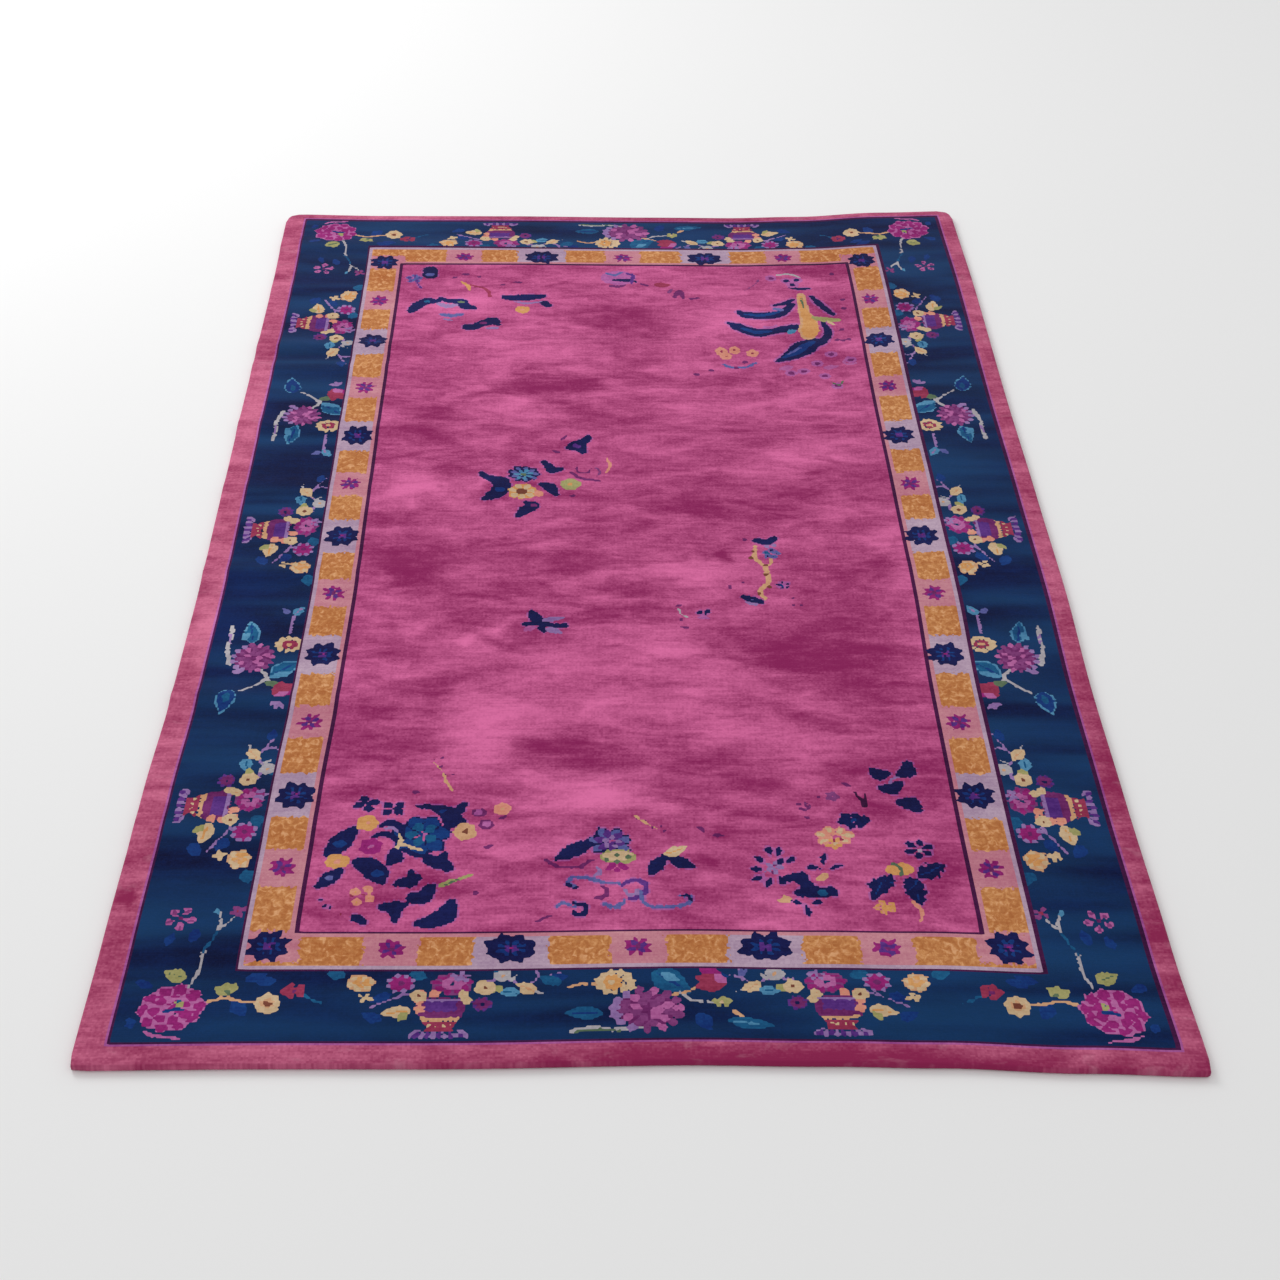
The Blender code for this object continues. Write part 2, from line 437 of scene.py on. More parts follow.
# %% [markdown]
# ## The vases
#
# A footed vase of blossoms stands four times at the ends and six times at the sides, always
# with its foot outwards. It is drawn upright from the middle of its foot. At the ends the
# border is narrower, so there the pen is made shorter.

# %% A vase of blossoms
def vase(pen):
    # the twig and leaves on the right
    brush(pen, [(60, 118), (88, 122), (112, 110), (134, 120), (166, 134)], [5, 4, 3, 3, 2], "lilac")
    brush(pen, [(112, 110), (124, 98), (140, 92)], 3, "ash")
    brush(pen, [(128, 116), (134, 130), (130, 138)], 3, "lilac")
    brush(pen, [(96, 118), (104, 132)], 3, "ash")
    leaf(pen, 130, 92, 140, 34, 20, "cream", rib="tan")
    leaf(pen, 108, 92, 170, 30, 20, "sky", rib="teal")
    leaf(pen, 150, 122, 10, 28, 16, "royal")
    leaf(pen, 70, 140, -20, 26, 15, "teal")
    leaf(pen, 84, 106, -150, 22, 13, "sage")
    # leaves on the left
    leaf(pen, -70, 92, 210, 32, 18, "royal")
    leaf(pen, -136, 128, 165, 30, 20, "teal")
    leaf(pen, -80, 36, 150, 34, 20, "royal")
    leaf(pen, -22, 126, 160, 28, 20, "teal")
    brush(pen, [(-30, 92), (-52, 90), (-72, 78), (-98, 64)], [4, 4, 3, 3], "lilac")
    # the pot: fringed foot, waist with pearls, tan band and round body
    for k in range(9):
        s = -32 + 8 * k
        lean = 90 + s * 0.9
        blade(pen, s * 0.8, 17, lean + 180, 18, 7, "lilac" if k % 2 else "violet", 0.65)
    brush(pen, [(-26, 16), (-36, 12), (-38, 4)], 4, "lilac")
    brush(pen, [(26, 16), (36, 12), (38, 4)], 4, "lilac")
    window, across, along = pen.near(0, 55, 60)
    up = along + 55
    waist = (np.abs(across) <= 17 + np.abs(up - 22) * 0.7) & (up > 15) & (up < 34)
    body = (np.abs(across) <= 34 * np.sqrt(np.clip(1 - ((up - 66) / 40) ** 2, 0, 1))) & (up > 36) & (up < 84)
    pen.fill(window, waist, "maroon")
    pen.fill(window, body, "plum")
    pen.fill(window, body & (np.abs(up - 66) < 11) & (np.abs(across) < 22), "violet")
    pen.fill(window, body & (up - np.abs(across) * 0.08 < 42), "tan")
    pen.fill(window, body & (up > 76) & (up < 81), "lilac")
    for s in (-15, -5, 5, 15):
        ball(pen, s, 24 + abs(s) * 0.25, 6.5, 6, "cream")
    # blossoms over the rim
    petals(pen, 14, 112, 9, 31, 17, "magenta", 4, "mauve", 12, 0.8)
    petals(pen, 14, 114, 7, 18, 9, "orchid", 3, None, 0, 0.8)
    petals(pen, 26, 128, 5, 14, 6, "lilac", 2, None, 20, 0.8)
    for s, t in ((-30, 60), (-32, 78), (-27, 92), (-10, 92), (30, 90), (36, 78)):
        open_flower(pen, s, t, 17, "peach" if s < 0 else "cream", "tan", 5)
    open_flower(pen, -32, 88, 26, "cream", "brown", 5, None, 30)
    # the four flowers that stand out from the group
    ring_flower(pen, -58, 114, 42, "magenta", "lilac", "plum")
    petals(pen, -114, 114, 6, 22, 17, "cream", 0, "tan", 15, 0.9)
    petals(pen, -112, 116, 5, 13, 8, "ochre", 2, None, 40)
    petals(pen, -106, 84, 4, 12, 7, "cream", 0, None, 70)
    leaf(pen, -40, 58, 190, 42, 25, "cream", rib="ochre")
    leaf(pen, -46, 52, 235, 22, 12, "sage")
    ring_flower(pen, 57, 70, 31, "plum", "violet", "ink")
    open_flower(pen, 60, 104, 31, "cream", "brown", 6)
    open_flower(pen, 84, 130, 27, "ash", "tan", 5, None, 30)


FOOT_SIDE, FOOT_END, END_VASE = 57, 45, 490
side_vases = 0
for edge, inward in ((LEFT, 1), (RIGHT, -1)):
    for y, forward in ((NEAR + 502, 1), (0, 1), (FAR - 486, -1)):
        vase(Pen(edge + inward * (FOOT_SIDE - 7 * (inward < 0)), y, right=(0, forward), up=(inward, 0)))
        side_vases += 1
for edge, inward in ((NEAR, 1), (FAR + 10, -1)):
    for sideways in (1, -1):
        foot = sideways * (END_VASE - WIDTH / 2)
        vase(Pen(foot, edge + inward * FOOT_END, right=(sideways, 0), up=(0, inward), tall=0.87))
print("vases:", side_vases, "at the sides and 4 at the ends")

# %% [markdown]
# ## Chrysanthemum sprays
#
# Between the vases lie sprays: a chrysanthemum, a cream daisy, a red tulip and big teal leaves.
# The side spray is measured from the near left corner, and the spray in the middle of each end
# has a cream lotus and a longer cut stem.

# %% Sprays of the border
def tulip(pen, s, t, heading, long):
    for bend, yarn in ((-22, "magenta"), (22, "maroon"), (0, "maroon")):
        blade(pen, s, t, heading + bend, long, long * 0.5, yarn, 0.5)
    blade(pen, s, t, heading - 30, long * 0.55, long * 0.3, "orchid", 0.5)


def side_spray(pen):
    brush(pen, [(75, 942), (77, 910), (76, 880), (84, 842)], [6, 7, 6, 9], "ash")
    brush(pen, [(75, 920), (78, 896)], 3, "lilac")
    leaf(pen, 116, 896, 100, 62, 28, "teal", rim="sky", rib="royal")
    leaf(pen, 96, 904, 60, 26, 12, "sky")
    brush(pen, [(177, 974), (176, 950), (176, 924)], 4, "lilac")
    leaf(pen, 176, 972, 60, 30, 18, "sky", rib="lilac")
    leaf(pen, 170, 978, 140, 20, 12, "slate")
    petals(pen, 179, 894, 11, 27, 9, "cream", 9, None, 0, 0.85)
    petals(pen, 179, 894, 8, 15, 6, "maroon", 4, None, 20, 0.85)
    ball(pen, 179, 894, 12, 9, "tan")
    brush(pen, [(136, 830), (152, 808), (134, 786), (112, 768)], [5, 5, 4, 3], "ash")
    brush(pen, [(150, 812), (160, 792), (172, 784)], [5, 4, 3], "ash")
    leaf(pen, 158, 812, 42, 58, 36, "teal", rim="sky", rib="royal")
    leaf(pen, 156, 808, 20, 40, 12, "sky")
    leaf(pen, 150, 794, -10, 30, 16, "moss")
    chrysanthemum(pen, 122, 858, 76, 80)
    ball(pen, 100, 822, 15, 12, "lilac")
    tulip(pen, 172, 756, 58, 44)
    for heading in (200, 250, 300):
        blade(pen, 182, 744, heading, 18, 7, "lilac", 0.6)
    blade(pen, 96, 772, -100, 58, 34, "royal", 0.35, rim="sky")
    blade(pen, 94, 764, -96, 24, 10, "teal", 0.4)


def end_spray(pen):
    brush(pen, [(-96, 56), (-64, 60), (-30, 56), (6, 64)], [6, 7, 6, 6], "ash")
    brush(pen, [(-90, 54), (-60, 57), (-28, 54)], 3, "moss")
    leaf(pen, -52, 86, 178, 56, 22, "teal", rib="royal")
    leaf(pen, -110, 142, 160, 34, 18, "teal")
    brush(pen, [(-100, 134), (-80, 140), (-62, 138)], 3, "tan")
    petals(pen, -34, 142, 11, 31, 10, "cream", 9, None, 5, 0.85)
    petals(pen, -38, 142, 7, 15, 8, "ochre", 2, None, 20)
    ball(pen, -40, 142, 8, 8, "cream")
    leaf(pen, 18, 162, -38, 66, 40, "teal", rib="royal")
    leaf(pen, 30, 158, -30, 30, 14, "sky")
    brush(pen, [(44, 118), (66, 124), (86, 136)], [4, 3, 3], "tan")
    brush(pen, [(54, 122), (74, 108), (104, 104)], 3, "ash")
    tulip(pen, 122, 140, 168, 46)
    leaf(pen, 138, 154, 40, 18, 9, "slate")
    petals(pen, 113, 104, 5, 14, 9, "sage", 0, None, 20, 0.8)
    ball(pen, 112, 104, 8, 6, "cream")
    leaf(pen, 126, 90, -38, 26, 6, "tan")
    leaf(pen, 118, 72, -8, 66, 20, "teal", rib="sky")
    leaf(pen, 78, 84, -60, 34, 22, "royal")
    chrysanthemum(pen, 8, 92, 106, 74)


for pen in CORNER_PENS:
    side_spray(pen)
end_spray(Pen(1, NEAR))
end_spray(Pen(1, FAR + 14, up=(0, -1)))
print("sprays: 4 at the sides and 2 at the ends")

# %% [markdown]
# A border motif stops at the guard lines, so whatever a leaf tip reached on the gold band or on
# the outer band goes back to what was laid there before.

# %% Keep the motifs inside the blue border
outside = ~inside("blue border", 6) | inside("gold band", -9)
chart[outside] = woven_bands[outside]
# %% [markdown]
# ## The sprays in the field
#
# The field is mostly bare, as art deco taste had it. Loose sprays of dark blue leaves grow from
# its corners, with a few small ones in between. A lobed leaf is two or three brush strokes, and
# a toothed leaf is a blade with teeth. Places are in millimetres from the near left corner.

# %% Leaves and small flowers for the field
field_start = chart.copy()
field = Pen(LEFT, NEAR)


LEAF_FULLNESS = 1.28


def dark_leaf(places, widths, core=None):
    """A lobed leaf in ink blue, with a brighter core if it has one."""
    brush(field, places, [width * LEAF_FULLNESS for width in widths], "ink")
    if core:
        middle = places[len(places) // 2]
        ball(field, *middle, max(widths) * 0.8, max(widths) * 0.55, core)


def toothed_leaf(s, t, heading, long, wide, rib="slate"):
    blade(field, s, t, heading, long, wide * 1.2, "ink", 0.45, None, rib, 4)


def dots(yarn, size, *places):
    for place in places:
        ball(field, *place, size, size * 0.9, yarn)


def dashes(yarn, *marks):
    """Short petals: place, heading and length of each."""
    for s, t, heading, long in marks:
        blade(field, s, t, heading, long, 7, yarn, 0.55)


# %% Near left spray
dots("plum", 6, (446, 607), (459, 611), (459, 591), (467, 572), (478, 572), (446, 562))
brush(field, [(448, 600), (462, 580), (470, 556), (482, 536)], [2, 3, 4, 4], "tan")
dashes("plum", (416, 536, -20, 16))
for s, t, turn in ((350, 506, 20), (393, 495, 45)):
    petals(field, s, t, 4, 21, 14, "ink", 1, None, turn, 0.85)
dark_leaf([(430, 500), (452, 498), (474, 488), (484, 470), (480, 458)], [5, 9, 20, 24, 10], "royal")
dark_leaf([(478, 480), (494, 492), (502, 506)], [16, 12, 7])
dark_leaf([(484, 474), (500, 466)], [14, 8])
for s, t in ((525, 485), (537, 460)):
    ball(field, s, t, 24, 21, "plum")
    ball(field, s, t, 15, 12, "dusk")
open_flower(field, 560, 494, 30, "peach", "tan", 5)
dashes("plum", (554, 470, 25, 17), (534, 412, 15, 16))
open_flower(field, 506, 445, 38, "tan", "brown", 5, None, 40)
petals(field, 440, 436, 7, 46, 30, "royal", 4, "ink", 10, 1.0)
petals(field, 440, 440, 5, 26, 15, "teal", 3, None, 40)
ball(field, 440, 440, 9, 9, "royal")
brush(field, [(376, 456), (392, 464), (408, 452), (412, 434)], [6, 12, 12, 5], "ink")
brush(field, [(366, 434), (384, 440), (402, 430), (410, 418)], [5, 10, 10, 5], "ink")
brush(field, [(382, 450), (396, 452), (406, 438)], [3, 4, 3], "lilac")
brush(field, [(404, 410), (410, 424), (404, 440)], [4, 6, 3], "cream")
brush(field, [(408, 424), (424, 414), (444, 406)], [5, 5, 3], "cream")
brush(field, [(414, 408), (436, 396), (456, 394)], [4, 8, 6], "ink")
open_flower(field, 356, 462, 36, "ochre", "peach", 5, None, 0)
dark_leaf([(306, 400), (318, 420), (334, 446)], [14, 27, 13], "royal")
petals(field, 366, 414, 6, 19, 13, "magenta", 2, None, 20)
ball(field, 366, 414, 8, 7, "orchid")
dark_leaf([(402, 404), (404, 392), (396, 380)], [10, 19, 9])
open_flower(field, 318, 382, 40, "ochre", "peach", 6, None, 20, 0.8)
dark_leaf([(452, 384), (468, 382), (484, 370)], [10, 20, 13])
dark_leaf([(470, 386), (478, 398)], [14, 8])
dark_leaf([(348, 382), (364, 374), (380, 358), (388, 340)], [12, 26, 26, 8], "royal")
dark_leaf([(296, 332), (310, 348), (324, 364)], [8, 19, 9], "slate")
dark_leaf([(412, 338), (428, 340), (440, 350)], [9, 18, 10])
dark_leaf([(430, 342), (430, 360)], [12, 7])
dark_leaf([(438, 308), (452, 310), (462, 330)], [16, 20, 12])
for s, t in ((352, 320), (370, 326), (356, 300), (374, 306)):
    open_flower(field, s, t, 17, "peach", "ochre", 5)
dots("maroon", 6, (346, 312), (364, 316), (334, 276))
brush(field, [(478, 334), (496, 344), (524, 356)], [9, 7, 3], "sage")
brush(field, [(482, 336), (500, 344)], 3, "moss")
dots("plum", 11, (528, 318))
dots("ink", 7, (303, 304), (310, 292), (318, 288))
dark_leaf([(394, 290), (412, 290), (426, 294)], [10, 18, 8])
dark_leaf([(412, 288), (414, 266)], [16, 8])
dark_leaf([(448, 258), (468, 262), (488, 276), (494, 298)], [9, 20, 24, 10], "royal")
dark_leaf([(484, 272), (500, 280)], [14, 7])
dark_leaf([(358, 268), (368, 260)], [12, 10])
print("near left spray:", int((chart != field_start).sum()), "knots")

# %% Near middle spray
petals(field, 726, 420, 7, 36, 20, "slate", 3, "ink", 15, 0.9)
petals(field, 726, 422, 6, 24, 11, "violet", 3, None, 45)
petals(field, 728, 420, 5, 15, 7, "lilac", 3, None, 10)
dark_leaf([(646, 386), (664, 398), (684, 408)], [5, 18, 14])
dark_leaf([(668, 410), (690, 416)], [10, 14])
ball(field, 738, 389, 54, 32, "sage")
ball(field, 738, 391, 46, 22, "cream")
dots("moss", 9, (721, 383), (736, 392), (737, 379), (754, 388))
petals(field, 736, 368, 5, 18, 10, "magenta", 2, None, 200, 0.6)
brush(field, [(628, 384), (644, 372), (662, 368), (684, 371)], [5, 4, 4, 3], "plum")
brush(field, [(684, 366), (690, 378), (704, 384)], [6, 5, 3], "plum")
brush(field, [(672, 330), (664, 338), (672, 348), (690, 346), (716, 336), (740, 334)],
      [6, 5, 4, 5, 5, 4], "slate")
brush(field, [(664, 334), (670, 326), (678, 328)], 5, "ink")
brush(field, [(704, 304), (718, 308), (722, 320), (712, 328)], [6, 7, 5, 4], "plum")
brush(field, [(744, 330), (760, 340), (778, 332), (772, 308), (752, 302)], [5, 6, 7, 7, 5], "violet")
brush(field, [(746, 322), (752, 310), (764, 312), (764, 322)], 4, "lilac")
brush(field, [(770, 318), (774, 296), (790, 286), (820, 286), (842, 294), (842, 306), (830, 308)],
      [4, 4, 4, 4, 5, 6, 5], "slate")
brush(field, [(832, 308), (840, 308), (844, 298)], 5, "ink")
brush(field, [(716, 292), (734, 286), (746, 298)], [5, 6, 4], "slate")
brush(field, [(648, 290), (660, 296), (672, 288), (676, 296)], 4, "slate")
brush(field, [(672, 296), (688, 290), (690, 276), (676, 272), (672, 280)], [5, 6, 7, 6, 4], "ink")
brush(field, [(618, 260), (628, 264), (640, 272)], [5, 4, 3], "plum")
brush(field, [(700, 350), (712, 356), (706, 368)], [4, 6, 4], "lilac")
dark_leaf([(786, 354), (796, 370), (806, 386)], [6, 18, 9])
dark_leaf([(820, 386), (832, 376), (850, 368)], [12, 18, 5])
leaf(field, 806, 392, 25, 42, 18, "cream", rib="ochre")
dots("plum", 6, (767, 470), (779, 463), (790, 449), (803, 452), (809, 443))
brush(field, [(764, 474), (782, 458), (800, 446)], 3, "tan")
dashes("plum", (856, 452, -20, 16), (880, 434, 0, 20), (866, 438, 70, 10))

# %% Near right spray
for heading, far_out in ((78, 40), (100, 42), (138, 32), (180, 30), (214, 34), (246, 32),
                         (290, 26), (40, 34), (64, 20)):
    c, n = math.cos(math.radians(heading)), math.sin(math.radians(heading))
    blade(field, 972 + c * (far_out - 16), 364 + n * (far_out - 16), heading, 26, 15, "dusk", 0.55)
    blade(field, 972 + c * (far_out - 12), 364 + n * (far_out - 12), heading, 20, 9, "ink", 0.55)
petals(field, 970, 368, 5, 14, 8, "lilac", 2)
dots("plum", 6, (968, 358), (972, 373))
dashes("ink", (1040, 366, 170, 22), (1044, 374, 80, 24), (1054, 366, 20, 20))
dashes("ink", (1008, 292, 155, 20), (1012, 290, -80, 22), (1020, 292, 25, 20))
dark_leaf([(992, 346), (1004, 348)], [12, 14])
dark_leaf([(1012, 350), (1014, 336), (1020, 322)], [12, 14, 18])
dark_leaf([(1006, 316), (1024, 318), (1038, 316), (1050, 318)], [12, 20, 14, 16], "teal")
petals(field, 1068, 434, 7, 32, 15, "cream", 3, "peach", 10, 0.72)
dots("maroon", 7, (1064, 424), (1076, 428))
petals(field, 1066, 418, 5, 14, 7, "ochre", 2, None, 200)
petals(field, 1100, 468, 6, 26, 13, "ink", 1, None, 12, 0.7)
ball(field, 1100, 468, 12, 9, "royal")
dark_leaf([(1140, 582), (1152, 572), (1162, 576)], [9, 19, 9])
dark_leaf([(1184, 570), (1196, 580), (1198, 596)], [10, 19, 12])
dark_leaf([(1192, 576), (1206, 574)], [14, 6])
dark_leaf([(1152, 542), (1168, 540), (1180, 552)], [10, 20, 10])
dark_leaf([(1176, 508), (1192, 506), (1200, 494)], [10, 23, 13])
brush(field, [(1166, 552), (1170, 562), (1182, 566)], 4, "lilac")
brush(field, [(1108, 532), (1114, 518), (1121, 500), (1124, 528)], [3, 4, 6, 3], "aubergine")
dashes("plum", (1088, 556, -38, 22))
petals(field, 1072, 522, 5, 13, 8, "mauve", 1)
petals(field, 1026, 498, 5, 13, 8, "mauve", 3, "plum")
dots("plum", 8, (1028, 473), (1052, 520))
petals(field, 1193, 408, 6, 24, 10, "ink", 3, None, 20, 0.85)
ball(field, 1193, 404, 8, 8, "silver")
ball(field, 1158, 366, 44, 26, "ochre")
brush(field, [(1148, 378), (1160, 366), (1158, 352)], [5, 6, 4], "moss")
for s, t, heading, long in ((1182, 350, 30, 54), (1172, 350, -82, 60), (1184, 346, -125, 36),
                            (1136, 352, -118, 56), (1128, 344, -20, 22)):
    toothed_leaf(s, t, heading, long, 27, "royal")
petals(field, 1127, 288, 5, 19, 12, "peach", 3, "ochre", 40, 0.8)
ball(field, 1128, 288, 9, 8, "ochre")
leaf(field, 1050, 356, -140, 26, 14, "tan")
leaf(field, 992, 306, 200, 24, 14, "tan")
brush(field, [(1168, 300), (1180, 282), (1176, 262)], [5, 6, 4], "peach")

# %% Branch at the middle right, and the spray at the middle left
brush(field, [(988, 1176), (986, 1140), (1000, 1108), (1004, 1070), (988, 1044), (996, 1020)],
      [6, 9, 8, 9, 9, 6], "tan")
brush(field, [(1000, 1108), (1012, 1120), (1014, 1136)], 4, "tan")
dots("brown", 9, (984, 1159), (978, 1139), (1001, 1115), (1000, 1088), (1004, 1055), (986, 1036))
dark_leaf([(992, 1192), (1010, 1188), (1024, 1198)], [10, 11, 9])
dots("plum", 10, (969, 1196))
dots("lilac", 9, (1022, 1178), (1008, 1174))
petals(field, 1015, 1153, 5, 16, 11, "ink", 1, "slate", 10)
ball(field, 1008, 1156, 9, 8, "teal")
petals(field, 1030, 1060, 5, 15, 11, "ink", 1, "dusk", 30)
ball(field, 1026, 1060, 8, 8, "royal")
dark_leaf([(958, 1026), (972, 1018), (986, 1012)], [8, 12, 9], "slate")
brush(field, [(962, 1010), (978, 1004)], [5, 7], "lilac")
dots("plum", 8, (960, 1068), (936, 1050), (936, 1058), (1045, 1022), (1044, 1002), (1057, 1002))
dashes("ink", (876, 974, 60, 16), (888, 974, 70, 18))
ball(field, 886, 966, 22, 9, "dusk")
dashes("plum", (834, 996, 20, 18), (842, 958, 40, 9), (842, 940, -5, 18))
brush(field, [(842, 992), (846, 976), (858, 968)], 3, "ash")

dark_leaf([(484, 1404), (494, 1390), (506, 1380)], [9, 12, 12])
dark_leaf([(502, 1388), (520, 1374), (520, 1350), (506, 1332), (490, 1320)], [14, 26, 26, 20, 8], "royal")
petals(field, 564, 1402, 9, 32, 15, "slate", 2, "ink", 0, 0.9)
petals(field, 564, 1400, 7, 19, 7, "sky", 4, None, 20)
ball(field, 564, 1400, 10, 9, "moss")
petals(field, 562, 1344, 7, 30, 19, "cream", 2, "ochre", 12, 0.9)
ball(field, 561, 1344, 20, 17, "brown")
dark_leaf([(600, 1442), (610, 1430), (618, 1416), (636, 1420)], [8, 12, 16, 7])
dark_leaf([(600, 1366), (614, 1358), (624, 1336)], [11, 19, 9])
dark_leaf([(554, 1264), (568, 1284), (584, 1300), (570, 1310)], [6, 19, 17, 7], "plum")
leaf(field, 600, 1328, 120, 24, 16, "peach")
open_flower(field, 652, 1368, 40, "sage", "ochre", 5)
brush(field, [(652, 1408), (672, 1388), (698, 1382), (708, 1378)], [5, 6, 6, 3], "plum")
brush(field, [(664, 1424), (668, 1408), (684, 1406), (690, 1418)], 4, "plum")
brush(field, [(700, 1424), (708, 1410), (704, 1396)], 4, "mauve")
dark_leaf([(650, 1490), (666, 1498), (676, 1478)], [10, 26, 10], "violet")
dark_leaf([(674, 1506), (688, 1524)], [14, 9])
dashes("plum", (616, 1482, -30, 20), (634, 1514, 50, 20), (650, 1332, -10, 13))
brush(field, [(722, 1454), (728, 1430), (720, 1408)], [4, 6, 3], "peach")

# %% The small butterfly
dark_leaf([(600, 956), (592, 970), (586, 982)], [16, 15, 8])
dark_leaf([(576, 950), (590, 948)], [7, 11])
dark_leaf([(600, 954), (622, 946), (646, 944)], [12, 8, 9])
dark_leaf([(604, 940), (612, 930)], [8, 6])
leaf(field, 604, 958, 12, 42, 12, "lilac")
leaf(field, 612, 938, -25, 34, 14, "lilac")
leaf(field, 594, 944, 215, 26, 14, "orchid")

# %% Far left clouds and leaves
dark_leaf([(340, 2186), (341, 2166)], [24, 26], "slate")
petals(field, 307, 2148, 5, 19, 12, "violet", 1, "slate", 90)
brush(field, [(312, 2140), (318, 2120), (324, 2102)], 3, "violet")
dashes("plum", (406, 2168, 0, 24), (388, 2150, 30, 14), (520, 2134, -5, 26), (494, 2120, 15, 14),
       (440, 2160, -20, 14))
brush(field, [(430, 2120), (446, 2112), (460, 2104), (470, 2088), (474, 2070)], [8, 6, 6, 7, 7], "maroon")
brush(field, [(410, 2136), (424, 2118), (430, 2096)], [4, 8, 5], "ochre")
dark_leaf([(310, 2010), (322, 2034), (340, 2050), (364, 2050)], [14, 20, 20, 9], "teal")
dark_leaf([(370, 2060), (392, 2052), (414, 2048), (424, 2030), (444, 2022)], [10, 12, 18, 18, 9], "moss")
brush(field, [(366, 2040), (384, 2030), (404, 2034)], [9, 16, 9], "lilac")
brush(field, [(374, 1996), (394, 1990), (418, 1996)], [8, 13, 8], "slate")
brush(field, [(380, 1978), (398, 1970)], 6, "lilac")
dark_leaf([(508, 2066), (530, 2064), (556, 2066), (590, 2072)], [12, 17, 18, 9], "ink")
brush(field, [(530, 2048), (556, 2042), (584, 2050)], [5, 8, 5], "lilac")
dark_leaf([(592, 2044), (600, 2034)], [14, 12])
open_flower(field, 546, 2016, 36, "ochre", "peach", 5, None, 20, 0.8)
dark_leaf([(432, 1944), (448, 1946), (466, 1960), (484, 1968), (496, 1956)], [18, 17, 18, 22, 9], "plum")
brush(field, [(474, 1938), (494, 1940)], [7, 9], "lilac")

# %% Far middle moths
ball(field, 752, 2156, 76, 62, "dusk")
brush(field, [(742, 2146), (766, 2146), (788, 2142)], [7, 13, 10], "ink")
brush(field, [(736, 2120), (752, 2118), (766, 2124)], [9, 8, 5], "plum")
brush(field, [(726, 2176), (744, 2168), (760, 2182)], [5, 6, 5], "slate")
brush(field, [(772, 2176), (784, 2166), (780, 2132)], [6, 7, 6], "violet")
leaf(field, 828, 2126, 0, 40, 20, "maroon")
brush(field, [(802, 2130), (814, 2124)], 6, "plum")
brush(field, [(872, 2072), (884, 2096), (892, 2068)], [8, 14, 7], "plum")
brush(field, [(866, 2106), (860, 2090)], 6, "mauve")
brush(field, [(906, 2066), (922, 2070)], [8, 7], "plum")

# %% Far right spray with its gold gourd
for spread in ("dusk", "ink"):
    more = 8 if spread == "dusk" else 0
    brush(field, [(1008, 2012), (1026, 2000), (1062, 1996), (1096, 2004), (1124, 2040)],
          [12 + more, 26 + more, 28 + more, 26 + more, 14 + more], spread)
    brush(field, [(1084, 2038), (1108, 2046), (1126, 2060)], [7 + more, 12 + more, 9 + more], spread)
    brush(field, [(982, 1968), (1004, 1950), (1040, 1926), (1070, 1930), (1124, 1946)],
          [7 + more, 26 + more, 30 + more, 26 + more, 22 + more], spread)
    brush(field, [(1078, 1812), (1104, 1830), (1136, 1860), (1164, 1886)],
          [10 + more, 30 + more, 48 + more, 26 + more], spread)
    brush(field, [(1168, 2074), (1184, 2040), (1208, 1996)], [7 + more, 17 + more, 10 + more], spread)
    brush(field, [(1184, 1962), (1192, 1926), (1178, 1884), (1160, 1868)],
          [9 + more, 17 + more, 18 + more, 16 + more], spread)
brush(field, [(1020, 2002), (1060, 1998), (1096, 2012)], [5, 11, 7], "royal")
brush(field, [(1012, 1944), (1040, 1928), (1072, 1932)], [7, 13, 7], "royal")
brush(field, [(1090, 1826), (1124, 1850), (1156, 1882)], [8, 20, 12], "royal")
brush(field, [(1100, 1838), (1128, 1858)], 4, "slate")
brush(field, [(1058, 1950), (1074, 1946), (1084, 1956)], [6, 9, 5], "dusk")
brush(field, [(1086, 2024), (1100, 2018)], 9, "slate")
brush(field, [(1146, 2080), (1146, 2040), (1148, 2000), (1154, 1966), (1152, 1934), (1148, 1908)],
      [17, 20, 26, 36, 44, 30], "tan")
brush(field, [(1145, 2072), (1146, 2032), (1150, 1998), (1156, 1960), (1154, 1930), (1150, 1912)],
      [8, 12, 17, 28, 36, 22], "ochre")
brush(field, [(1146, 2064), (1147, 2024)], 4, "moss")
brush(field, [(1168, 1984), (1190, 1976), (1218, 1972)], [13, 18, 10], "sage")
brush(field, [(1196, 1966), (1208, 1954)], [7, 5], "cream")
leaf(field, 1122, 1936, 225, 26, 16, "sky")
brush(field, [(1128, 2112), (1146, 2106), (1166, 2108)], [8, 10, 8], "ink")
for s, t in ((1086, 2156), (1120, 2142), (1142, 2144), (1132, 2124)):
    ball(field, s, t, 26, 26, "dusk")
    ball(field, s, t, 13, 14, "ink" if s > 1100 else "plum")
brush(field, [(1100, 2168), (1126, 2172), (1152, 2156)], [4, 5, 4], "ash")
brush(field, [(1060, 2152), (1048, 2128), (1026, 2104)], [4, 3, 3], "mauve")
for s, t in ((962, 1848), (990, 1852), (972, 1832), (1026, 1842)):
    open_flower(field, s, t, 27, "peach", "maroon", 5)
brush(field, [(966, 1800), (980, 1788), (1010, 1790), (1030, 1806)], [5, 6, 5, 4], "slate")
dots("plum", 12, (1010, 1809), (990, 1786), (938, 1776), (908, 1760))
for s, t in ((1190, 1835), (1229, 1812), (1158, 1800), (1128, 1770), (1170, 1752), (1192, 1714),
             (1102, 1764)):
    ball(field, s, t, 26, 24, "dusk")
    ball(field, s, t, 14, 12, "plum")
for s, t in ((1234, 2056), (1234, 2020), (1222, 1932), (1208, 1890), (1220, 1886), (1232, 1890),
             (1222, 2168)):
    ball(field, s, t, 12, 12, "plum")
